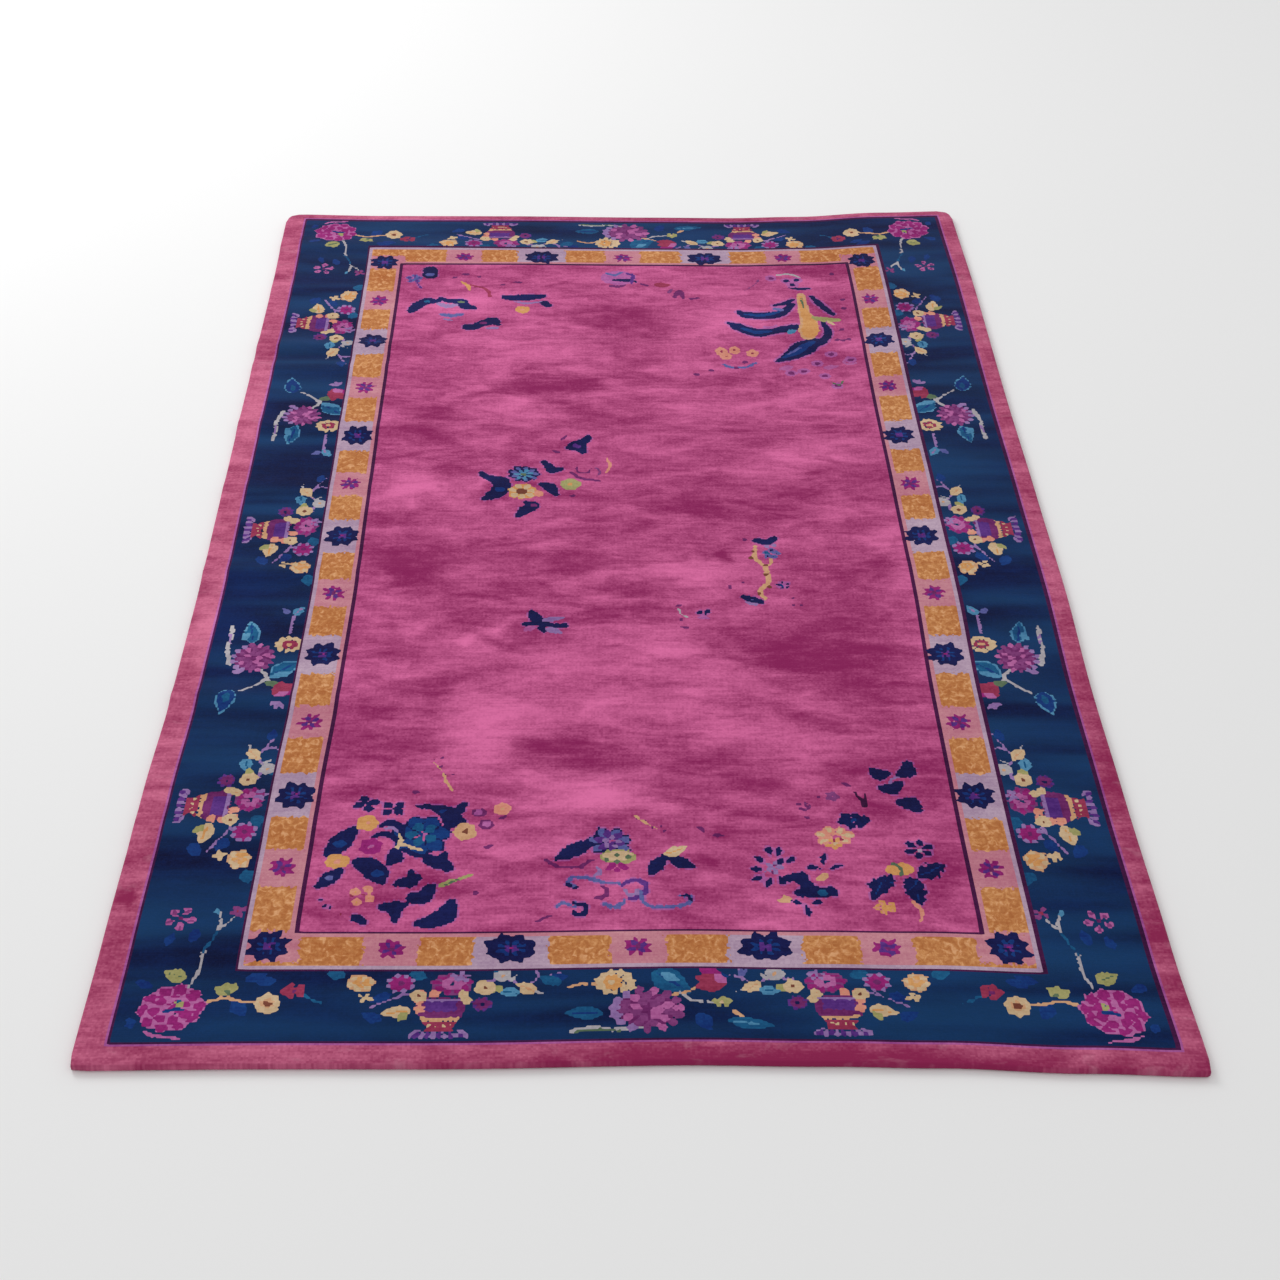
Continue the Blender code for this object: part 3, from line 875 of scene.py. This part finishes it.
brush(field, [(1222, 1824), (1214, 1806), (1222, 1794), (1240, 1798)], 4, "orchid")
leaf(field, 1108, 1790, 200, 34, 18, "orchid")
leaf(field, 1170, 1780, 20, 34, 16, "orchid")
brush(field, [(1180, 1730), (1196, 1716), (1204, 1730)], 3, "moss")
print("all sprays:", int((chart != field_start).sum()), "knots")

# %% [markdown]
# ## Soft edges
#
# Round each dark leaf of the field a row of dusky knots is painted shade of the carved, leaning
# edge of the dark pile on the raspberry, with some dye run of the dark wool. They are left out here and
# there, as the tufts lean over.

# %% A dusky row of painted shade round the dark leaves
dark = np.isin(chart, [YARN_NUMBER[name] for name in ("ink", "royal", "slate", "violet")])
reach = np.zeros(chart.shape, bool)
for rows, columns in ((1, 0), (-1, 0), (0, 1), (0, -1)):
    reach |= np.roll(dark, (rows, columns), (0, 1))
bare = (chart == YARN_NUMBER["raspberry"]) & inside("field", 6)
lay(reach & bare & (hand.random(chart.shape) < 0.72), "dusk")
print("chart done,", len(np.unique(chart)), "yarns used")
# %% [markdown]
# ## From the chart to cloth
#
# The cloth starts as a flat grid with one face for each knot. Each face takes its yarn from the
# chart as a material number. A third of a million faces is too many, and most of them are one
# colour with their neighbours, so Limited Dissolve joins them, but never across two yarns or
# across the seams that are marked every seven knots. The seams leave enough points to bend the
# cloth later.

# %% Weave the chart into a grid
SEAM_EVERY = 7

bpy.ops.object.select_all(action="DESELECT")
bpy.ops.mesh.primitive_grid_add(x_subdivisions=KNOTS_ACROSS, y_subdivisions=KNOTS_ALONG, size=1)
rug = bpy.context.object
rug.name = "rug_pile"
rug.data.name = "rug_pile"
rug.scale = (WIDTH / 1000, LENGTH / 1000, 1)
bpy.ops.object.transform_apply(location=False, rotation=False, scale=True)
for name in YARNS:
    rug.data.materials.append(bpy.data.materials.new(name))


def read(collection, field, width):
    """A field of all the mesh's points, edges, faces or corners, as rows of numbers."""
    values = np.empty(len(collection) * width)
    collection.foreach_get(field, values)
    return values.reshape(-1, width)


middles = read(rug.data.polygons, "center", 3)
column = ((middles[:, 0] * 1000 + WIDTH / 2) / KNOT).astype(int)
row = ((middles[:, 1] * 1000 + LENGTH / 2) / KNOT).astype(int)
rug.data.polygons.foreach_set("material_index", chart[row, column].astype(np.int32))

points = read(rug.data.vertices, "co", 3)
lines = np.rint((points[:, :2] * 1000 + (WIDTH / 2, LENGTH / 2)) / KNOT).astype(int)
ends = read(rug.data.edges, "vertices", 2).astype(int)
first, second = lines[ends[:, 0]], lines[ends[:, 1]]
seams = ((first == second) & (first % SEAM_EVERY == 0)).any(1)
rug.data.edges.foreach_set("use_seam", seams)
print(len(rug.data.polygons), "knots in the grid")

# %% Join what is one yarn
bpy.ops.object.mode_set(mode="EDIT")
bpy.ops.mesh.select_all(action="SELECT")
bpy.ops.mesh.dissolve_limited(angle_limit=0.01, delimit={"MATERIAL", "SEAM"})
bpy.ops.object.mode_set(mode="OBJECT")
print(len(rug.data.polygons), "faces left,", len(rug.data.vertices), "points")

# %% [markdown]
# The outlines are still stairs of square knots. In a real pile the cut tufts lean into each
# other, and the stairs soften. So each corner where exactly two edges of a yarn's outline meet
# moves a little way towards the middle of its neighbours, and never more than a third of a knot.

# %% Soften the stairs
def outline_edges(mesh):
    """The edges between two faces of different yarns."""
    yarn = read(mesh.polygons, "material_index", 1)[:, 0].astype(int)
    loop_edge = read(mesh.loops, "edge_index", 1)[:, 0].astype(int)
    sizes = read(mesh.polygons, "loop_total", 1)[:, 0].astype(int)
    loop_yarn = np.repeat(yarn, sizes)
    low = np.full(len(mesh.edges), 99)
    high = np.full(len(mesh.edges), -1)
    np.minimum.at(low, loop_edge, loop_yarn)
    np.maximum.at(high, loop_edge, loop_yarn)
    return read(mesh.edges, "vertices", 2).astype(int)[low != high]


STEP_SHARE = 0.5  # of the way to the middle of a corner's neighbours
MOST_STEP = 0.34 * KNOT / 1000


def soften(mesh, most):
    """Moves the corners of the outlines, each by no more than most, and counts them."""
    pairs = outline_edges(mesh)
    points = read(mesh.vertices, "co", 3)
    count = np.bincount(pairs.ravel(), minlength=len(points))
    total = np.zeros_like(points)
    np.add.at(total, pairs[:, 0], points[pairs[:, 1]])
    np.add.at(total, pairs[:, 1], points[pairs[:, 0]])
    free = count == 2
    step = np.zeros_like(points)
    step[free] = (total[free] / 2 - points[free]) * STEP_SHARE
    far = np.linalg.norm(step, axis=1)
    step *= np.minimum(1, most / np.maximum(far, 1e-9))[:, None]
    mesh.vertices.foreach_set("co", (points + step).ravel())
    return int(free.sum())


print("corners softened:", soften(rug.data, MOST_STEP))

# %% [markdown]
# ## Thickness and the rolled edge
#
# The cloth is 12 mm thick. Extruding the flat sheet downwards gives it a back with the same
# design, which is right: a knotted rug shows its chart on the back too. Its sides are overcast
# with wool, so their edges are round, and a bevel on the upper and lower rim rolls them over.

# %% Extrude the back and bevel the rim
THICK = 12.0
ROLL = 4.5
ON_EDGE = 0.5  # a face whose normal rises less than this is part of the side

bpy.ops.object.mode_set(mode="EDIT")
bpy.ops.mesh.select_all(action="SELECT")
bpy.ops.mesh.extrude_region_move(TRANSFORM_OT_translate={"value": (0, 0, -THICK / 1000)})
bpy.ops.mesh.select_all(action="SELECT")
bpy.ops.mesh.normals_make_consistent(inside=False)
bpy.ops.mesh.select_all(action="DESELECT")
bpy.ops.mesh.select_mode(type="EDGE")
shape = bmesh.from_edit_mesh(rug.data)
for edge in shape.edges:
    slopes = [abs(face.normal.z) for face in edge.link_faces]
    edge.select_set(min(slopes) < ON_EDGE < max(slopes))
bmesh.update_edit_mesh(rug.data)
bpy.ops.mesh.bevel(offset=ROLL / 1000, segments=3, affect="EDGES", clamp_overlap=False)
bpy.ops.object.mode_set(mode="OBJECT")

flat_points = read(rug.data.vertices, "co", 3)
weave = rug.data.attributes.new("weave", "FLOAT_VECTOR", "POINT")
weave.data.foreach_set("vector", flat_points.astype(np.float32).ravel())
rug.data.calc_loop_triangles()
print("thick and rolled:", len(rug.data.loop_triangles), "triangles")

# %% [markdown]
# ## Laying the rug
#
# No old rug is a true rectangle. Its sides wander by a few millimetres and its right-hand
# corners are drawn out. Soft ridges from folding run across it, strongest at the left. Each is
# a row of a table here, with its place, its slant, how far it reaches, its height and its half
# width. The cloth is moved onto them point by point, so the weave goes along.

# %% How far out of true it is, and its ridges
END_DRIFT = (  # across, near end, far end: all in mm, plus is right and up the rug
    (-765, 0, 6), (-540, 1, -1), (-260, -1, -1), (60, 3, -6),
    (250, -1, -8), (400, -5, -1), (600, -16, 21), (765, -23, 29),
)
SIDE_DRIFT = (  # along, left side, right side
    (-1220, -11, 10), (-1000, -8, 3), (-700, -4, -1), (-450, 3, -3), (-170, 5, 2),
    (100, 3, 0), (450, 1, -3), (850, 0, -2), (1220, -5, -7),
)
RIDGES = (  # place, slant, reach, height, half width
    (1075, 0.015, 620, 3.5, 34),
    (880, -0.020, 1100, 2.5, 40),
    (640, 0.010, 1600, 5.0, 38),
    (555, 0.030, 800, 4.0, 32),
    (345, -0.040, 1200, 4.5, 45),
    (130, 0.030, 700, 3.0, 40),
    (-125, 0.010, 1600, 4.0, 36),
    (-460, -0.015, 950, 4.5, 36),
    (-760, 0.020, 1600, 2.5, 50),
)
FAR_CORNER, NEAR_CORNER = 36.0, 10.0


def ease(t):
    t = np.clip(t, 0, 1)
    return t * t * (3 - 2 * t)


def drift(rows, column, place):
    """Reads one column of a drift table, with smooth steps between its rows."""
    found = np.full(len(place), float(rows[0][column]))
    for low, high in zip(rows, rows[1:]):
        found += (high[column] - low[column]) * ease((place - low[0]) / (high[0] - low[0]))
    return found


def rounded(x, y):
    """Draws the corners in to arcs."""
    radius = np.where(y > 0, FAR_CORNER, NEAR_CORNER)
    a = np.clip((np.abs(x) - WIDTH / 2 + radius) / radius, 0, 1)
    b = np.clip((np.abs(y) - LENGTH / 2 + radius) / radius, 0, 1)
    both = (a > 0) & (b > 0)
    in_x = WIDTH / 2 - radius + radius * a * np.sqrt(1 - b * b / 2)
    in_y = LENGTH / 2 - radius + radius * b * np.sqrt(1 - a * a / 2)
    return np.where(both, np.copysign(in_x, x), x), np.where(both, np.copysign(in_y, y), y)


def lift(x, y):
    """How high the ridges carry the cloth."""
    across = x + WIDTH / 2
    total = np.zeros(len(x))
    for place, slant, reach, height, half_width in RIDGES:
        off = np.abs(y - place - slant * across) / half_width
        bell = np.cos(np.clip(off, 0, 1) * np.pi / 2) ** 2
        total += height * bell * ease((reach - across) / (reach / 2))
    return total


def lay_cloth(mesh):
    """Moves the flat cloth onto its outline and ridges, in the middle of the CAD solid's box."""
    points = read(mesh.vertices, "co", 3) * 1000
    x, y, z = points.T
    right, far = (x + WIDTH / 2) / WIDTH, (y + LENGTH / 2) / LENGTH
    side = drift(SIDE_DRIFT, 1, y) * (1 - right) + drift(SIDE_DRIFT, 2, y) * right
    end = drift(END_DRIFT, 1, x) * (1 - far) + drift(END_DRIFT, 2, x) * far
    in_x, in_y = rounded(x, y)
    laid = np.stack([in_x + side, in_y + end, z + THICK + lift(x, y)], 1) / 1000
    middle = (laid.min(0) + laid.max(0)) / 2
    wanted = (CAD_BOX[0] + CAD_BOX[1]) / 2
    laid[:, 0] += wanted.x - middle[0]
    laid[:, 1] += wanted.y - middle[1]
    mesh.vertices.foreach_set("co", laid.ravel())
    mesh.update()
    return laid


laid = lay_cloth(rug.data)
print("laid, from", laid.min(0).round(4), "to", laid.max(0).round(4))
# %% [markdown]
# ## Colour on the cloth
#
# Each face now takes its yarn's two colours as attributes, its painted shade tone into the tufts
# and its painted sheen tone along their lean. A third attribute says where the pile leans towards
# the light, as a share of painted sheen. The wide patches of it are listed one by one, as broad
# strokes of a brush: place, size, turn and strength. Pale strokes are painted sheen and dark
# strokes painted shade, paler down the left side and darker along the near end and the right
# side. The three small strong dark ones are old stains and the thin pale ones are streaks, but the
# cloth has too few points to show much of anything so small.

# %% The painted shade and painted sheen colours of each face
def linear(colour):
    """A painter's 0 to 255 as the linear light that Blender mixes."""
    c = np.array(colour) / 255
    return np.where(c <= 0.04045, c / 12.92, ((c + 0.055) / 1.055) ** 2.4)


# The first array holds each yarn's painted shade colour, the second its painted sheen colour.
shaded_tones = np.array([[*linear(tufts), 1] for tufts, _ in YARNS.values()])
pale = np.array([[*linear(lean), 1] for _, lean in YARNS.values()])
yarn_of_face = read(rug.data.polygons, "material_index", 1)[:, 0].astype(int)
corners = read(rug.data.polygons, "loop_total", 1)[:, 0].astype(int)
for name, colours in (("tufts", shaded_tones), ("lean", pale)):
    layer = rug.data.attributes.new(name, "FLOAT_COLOR", "CORNER")
    at_corners = np.repeat(colours[yarn_of_face], corners, 0)
    layer.data.foreach_set("color", at_corners.astype(np.float32).ravel())
print("coloured", len(yarn_of_face), "faces")

# %% Where the pile leans: painted sheen, painted shade and stains
# Pale strokes are painted sheen and broad dark ones painted shade; the three small strong dark ones are
# stains.
SHEEN_AND_STAIN_STROKES = (  # across, along, half length, half breadth, turn, strength
    (-250, -570, 60, 45, 35, 0.42), (106, -134, 90, 26, -12, 0.34), (14, -486, 110, 40, 8, 0.38),
    (145, -547, 50, 26, 20, 0.36), (-58, -690, 95, 45, -20, 0.44), (-173, 635, 120, 60, 5, 0.30),
    (299, 232, 120, 40, 10, 0.30), (-262, -300, 62, 9, 32, 0.62), (-119, -357, 120, 30, 4, 0.26),
    (-216, -485, 80, 30, -8, 0.30), (50, -357, 70, 24, 10, 0.28), (153, 429, 130, 46, -6, 0.26),
    (-350, 831, 110, 60, 0, 0.26), (-390, 147, 70, 36, 20, 0.28), (-278, 152, 60, 6, 50, 0.40),
    (-318, 80, 46, 6, -38, 0.40), (-245, 78, 30, 6, 55, 0.36), (-700, -250, 50, 160, 0, 0.30),
    (-735, 380, 40, 190, 0, 0.28), (230, 760, 150, 60, 4, 0.24),
    (-160, 505, 110, 40, 0, -0.26), (-404, 355, 60, 60, 0, -0.26), (-108, -98, 95, 40, 5, -0.30),
    (254, -358, 110, 60, 0, -0.28), (-104, -587, 70, 40, 0, -0.28), (369, -358, 70, 120, 0, -0.24),
    (-383, -118, 75, 60, 0, -0.28), (137, 82, 110, 40, 0, -0.20), (381, -722, 70, 40, 0, -0.22),
    (-332, -459, 45, 26, 0, -0.26), (106, -630, 90, 30, 0, -0.22),
    (300, -1225, 480, 26, 0, -0.55), (752, -700, 22, 420, 0, -0.30), (-748, -905, 10, 13, 0, -1.1),
    (-420, -498, 14, 9, 0, -0.9), (155, -77, 13, 8, 0, -0.8),
)


# The share of painted sheen where no stroke lies.
USUAL_SHEEN = 0.40


def sheen_and_stain_share(points):
    """How much painted sheen shows at each point, where the pile leans to the light: 0 is painted shade into
    the tufts, 1 is painted sheen along them. Stains pull it down too.
    """
    total = np.full(len(points), USUAL_SHEEN)
    for across, along, long, broad, turn, strength in SHEEN_AND_STAIN_STROKES:
        c, n = math.cos(math.radians(turn)), math.sin(math.radians(turn))
        dx, dy = points[:, 0] * 1000 - across, points[:, 1] * 1000 - along
        u, v = (dx * c + dy * n) / long, (dy * c - dx * n) / broad
        total += strength * np.exp(-(u * u + v * v))
    return total


painted_sheen_and_stains = rug.data.attributes.new("painted_sheen_and_stains", "FLOAT", "POINT")
painted_sheen_and_stains.data.foreach_set("value", sheen_and_stain_share(flat_points).astype(np.float32))
print(len(SHEEN_AND_STAIN_STROKES), "strokes of nap")

# %% [markdown]
# ## Finishes
#
# A wool finish is worked out with ordinary sums. `Wire` wraps one socket of a material, and its
# `+`, `-` and `*` add Math nodes. `Finish` starts a material and adds any other node.

# %% Sums on sockets
class Wire:
    """The value on one socket."""

    def __init__(self, finish, socket):
        self.finish, self.socket = finish, socket

    def math(self, operation, *others):
        return self.finish.node("ShaderNodeMath", {"operation": operation}, dict(enumerate((self, *others))))

    def __add__(self, other):
        return self.math("ADD", other)

    def __sub__(self, other):
        return self.math("SUBTRACT", other)

    def __mul__(self, other):
        return self.math("MULTIPLY", other)

    def __rsub__(self, other):
        return self.finish.node("ShaderNodeMath", {"operation": "SUBTRACT"}, {0: other, 1: self})

    __radd__, __rmul__ = __add__, __mul__

    def over(self, low, high):
        """0 below low, 1 above high, and a smooth step between."""
        settings = {"interpolation_type": "SMOOTHSTEP"}
        inputs = {"Value": self, "From Min": low, "From Max": high}
        return self.finish.node("ShaderNodeMapRange", settings, inputs)


class Finish:
    """A material with a Principled shader, and a way to add nodes to it."""

    def __init__(self, name):
        self.material = bpy.data.materials.new(name)
        self.material.use_nodes = True
        self.tree = self.material.node_tree
        self.shader = self.tree.nodes["Principled BSDF"]

    def join(self, value, socket):
        if isinstance(value, Wire):
            self.tree.links.new(value.socket, socket)
        else:
            socket.default_value = value

    def node(self, kind, settings, inputs, out=0):
        """A node: its settings come first, then its inputs by name or number."""
        made = self.tree.nodes.new(kind)
        for key, value in settings.items():
            setattr(made, key, value)
        for key, value in inputs.items():
            self.join(value, made.inputs[key])
        return Wire(self, made.outputs[out])

    def mix(self, share, a, b):
        """Colour a where share is 0, and colour b where it is 1."""
        return self.node("ShaderNodeMix", {"data_type": "RGBA"}, {0: share, 6: a, 7: b}, 2)

    def attribute(self, name, out):
        return self.node("ShaderNodeAttribute", {"attribute_name": name}, {}, out)

    def noise(self, place, scale, detail=2.0, rough=0.5, twist=0.0, shift=(0, 0, 0)):
        """Soft noise, around 0.5. scale is in waves for each metre across and along."""
        stretch = {"Vector": place, "Location": shift, "Scale": (*scale, 1)}
        inputs = {"Vector": self.node("ShaderNodeMapping", {}, stretch), "Scale": 1.0}
        inputs |= {"Detail": detail, "Roughness": rough, "Distortion": twist}
        return self.node("ShaderNodeTexNoise", {}, inputs)

    def set(self, **values):
        for name, value in values.items():
            self.join(value, self.shader.inputs[name.replace("_", " ")])


print("sums ready")

# %% [markdown]
# ## Wool
#
# Every wool here is made the same way. The painted sheen is the broad strokes, plus clouds of noise that
# lie across the rug, plus fine lines along the rows of knots. It mixes the yarn's painted shade colour with
# its painted sheen colour. Each tuft is a little lighter or darker than its neighbour, and a small bump for
# each tuft breaks up the light. The shader's Sheen gives wool its soft bloom at a low angle.

# %% Cut wool pile
TUFTS = 1000 / KNOT  # tufts for each metre
# Clouds of painted sheen and painted shade that lie across the pile.
SHEEN_CLOUDS = (  # waves for each metre, detail, roughness, twist, shift, strength
    ((3.2, 7.5), 3, 0.55, 1.4, (0, 0, 0), 1.1),
    ((9, 24), 4, 0.6, 1.0, (3, 1, 0), 0.9),
    ((22, 85), 3, 0.6, 0.6, (1, 5, 0), 0.5),
)
# How much row lines, warp lines and each knot's own tone move the share of painted sheen.
ROW_LINES, WARP_LINES, OWN_TONE = 0.22, 0.12, 0.16  # how much each one moves the lean
# The lean at which a yarn shows only its painted shade colour, and the lean at which it shows only its
# painted sheen colour.
ALL_SHADED, ALL_SHEEN = -0.05, 1.05  # the lean at which a yarn shows only one colour


def paint(colour):
    return (*linear(colour), 1)


ABRASH_BLUE, BROCADE_BROWN = paint((24, 76, 124)), paint((158, 88, 44))
BROCADE_PALE, WORN_PINK = paint((226, 172, 126)), paint((212, 150, 170))


def wool(name, sheen_clouds=1.0, abrash=0.0, brocade=False, worn=0.0):
    """Cut wool. abrash is how far a second dye lot shows, and worn is how far thin wool does."""
    f = Finish(name)
    place = f.attribute("weave", "Vector")
    rows = f.noise(place, (5, 300), 1, 0.5, 0.0, (7, 2, 0))
    warps = f.noise(place, (210, 6), 1, 0.5, 0.0, (2, 9, 0))
    # The lean starts from the painted sheen strokes and gains clouds and lines of painted sheen and shade.
    lean = f.attribute("painted_sheen_and_stains", "Fac")
    for waves, detail, rough, twist, shift, strength in SHEEN_CLOUDS:
        cloud = f.noise(place, waves, detail, rough, twist, shift)
        lean = lean + (cloud - 0.5) * (strength * sheen_clouds)
    lean = lean + (rows - 0.5) * ROW_LINES + (warps - 0.5) * WARP_LINES
    knot = f.node("ShaderNodeMapping", {}, {"Vector": place, "Scale": (TUFTS, TUFTS, 1)})
    square = f.node("ShaderNodeVectorMath", {"operation": "FLOOR"}, {0: knot})
    own = f.node("ShaderNodeTexWhiteNoise", {"noise_dimensions": "2D"}, {"Vector": square})
    lean = lean + (own - 0.5) * OWN_TONE
    # The lean mixes each yarn's painted shade colour with its painted sheen colour.
    pale = lean.over(ALL_SHADED, ALL_SHEEN)
    colour = f.mix(pale, f.attribute("tufts", "Color"), f.attribute("lean", "Color"))
    if abrash:
        bars = f.noise(place, (1.2, 9), 2, 0.6, 0.3, (5, 5, 0)).over(0.35, 0.7)
        colour = f.mix(bars * abrash, colour, ABRASH_BLUE)
    if brocade:
        blots = f.noise(place, (110, 95), 2, 0.55, 0.8, (4, 4, 0))
        colour = f.mix(blots.over(0.40, 0.66) * 0.55, colour, BROCADE_BROWN)
        colour = f.mix((1 - blots.over(0.28, 0.48)) * 0.7, colour, BROCADE_PALE)
    if worn:
        thin = f.noise(place, (16, 30), 4, 0.65, 0.5, (8, 3, 0)).over(0.55, 0.75)
        colour = f.mix(thin * worn, colour, WORN_PINK)
    heads = {"Vector": place, "Scale": TUFTS, "Randomness": 0.55}
    tuft = f.node("ShaderNodeTexVoronoi", {}, heads, "Distance")
    fuzz = f.noise(place, (900, 900), 2, 0.6)
    height = (1 - tuft) * 0.7 + fuzz * 0.5 + rows * 0.4
    relief = {"Strength": 0.35, "Distance": 0.0012, "Height": height}
    f.set(
        Base_Color=colour,
        Roughness=0.9,
        Normal=f.node("ShaderNodeBump", {}, relief, "Normal"),
        Sheen_Weight=0.10,
        Sheen_Roughness=0.4,
        Sheen_Tint=(1.0, 0.80, 0.92, 1.0),
        Specular_IOR_Level=0.08,
    )
    return f.material


WOOLS = {
    "raspberry wool": wool("raspberry wool"),
    "outer wool": wool("outer wool", 0.9, worn=0.25),
    "navy wool": wool("navy wool", 0.7, abrash=0.5),
    "gold wool": wool("gold wool", 0.6, brocade=True),
    "flower wool": wool("flower wool", 0.6),
}
WOOL_OF_YARN = {"raspberry": 0, "outer raspberry": 1, "navy": 2, "gold": 3}
rug.data.materials.clear()
for material in WOOLS.values():
    rug.data.materials.append(material)
family = np.array([WOOL_OF_YARN.get(name, 4) for name in YARNS])
rug.data.polygons.foreach_set("material_index", family[yarn_of_face].astype(np.int32))
rug.data.shade_smooth()
print("wools:", ", ".join(WOOLS))

# %% Hand the rug over
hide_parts("rug")
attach(rug, "root")
print("the rug stands for the CAD node")

# %% [markdown]
# ## Studio
#
# A plain pale floor under an even white sky, with one large soft lamp at the far left, shows the
# nap without hard shadows. The camera is held high at the near end and looks down the rug. It is
# turned a little to the right and tilted a little over, as a camera in the hand is.

# %% Floor, light and camera
bpy.ops.mesh.primitive_plane_add(size=30, location=(0, 4, 0))
floor = bpy.context.object
floor.name = "floor"
paint = Finish("pale floor")
paint.set(Base_Color=(0.86, 0.86, 0.86, 1.0), Roughness=0.9, Specular_IOR_Level=0.1)
floor.data.materials.append(paint.material)

world = bpy.data.worlds.new("studio")
world.use_nodes = True
background = world.node_tree.nodes["Background"]
background.inputs["Color"].default_value = (1.0, 1.0, 1.0, 1.0)
background.inputs["Strength"].default_value = 0.72
bpy.context.scene.world = world


def softbox(name, place, size, power):
    """A square lamp of a size in metres and a power in watts, aimed at the middle of the rug."""
    lamp = bpy.data.lights.new(name, "AREA")
    lamp.shape = "SQUARE"
    lamp.size = size
    lamp.energy = power
    light = bpy.data.objects.new(name, lamp)
    light.location = place
    light.rotation_euler = (-Vector(place)).to_track_quat("-Z", "Y").to_euler()
    bpy.context.scene.collection.objects.link(light)


softbox("window light", (-3.2, 3.2, 3.4), 2.6, 130)

camera = bpy.data.objects.new("camera", bpy.data.cameras.new("camera"))
bpy.context.scene.collection.objects.link(camera)
LENS, PITCH, YAW, ROLL_OVER = 56.3, 39.4, 1.5, 0.83
CAMERA_PLACE = (-0.0566, -2.9565, 2.1793)
camera.data.lens = LENS
turn = Matrix.Rotation(math.radians(-YAW), 4, "Z") @ Matrix.Rotation(math.radians(90 - PITCH), 4, "X")
turn = turn @ Matrix.Rotation(math.radians(ROLL_OVER), 4, "Z")
camera.matrix_world = Matrix.Translation(CAMERA_PLACE) @ turn
bpy.context.scene.camera = camera
bpy.context.scene.view_settings.view_transform = "Standard"
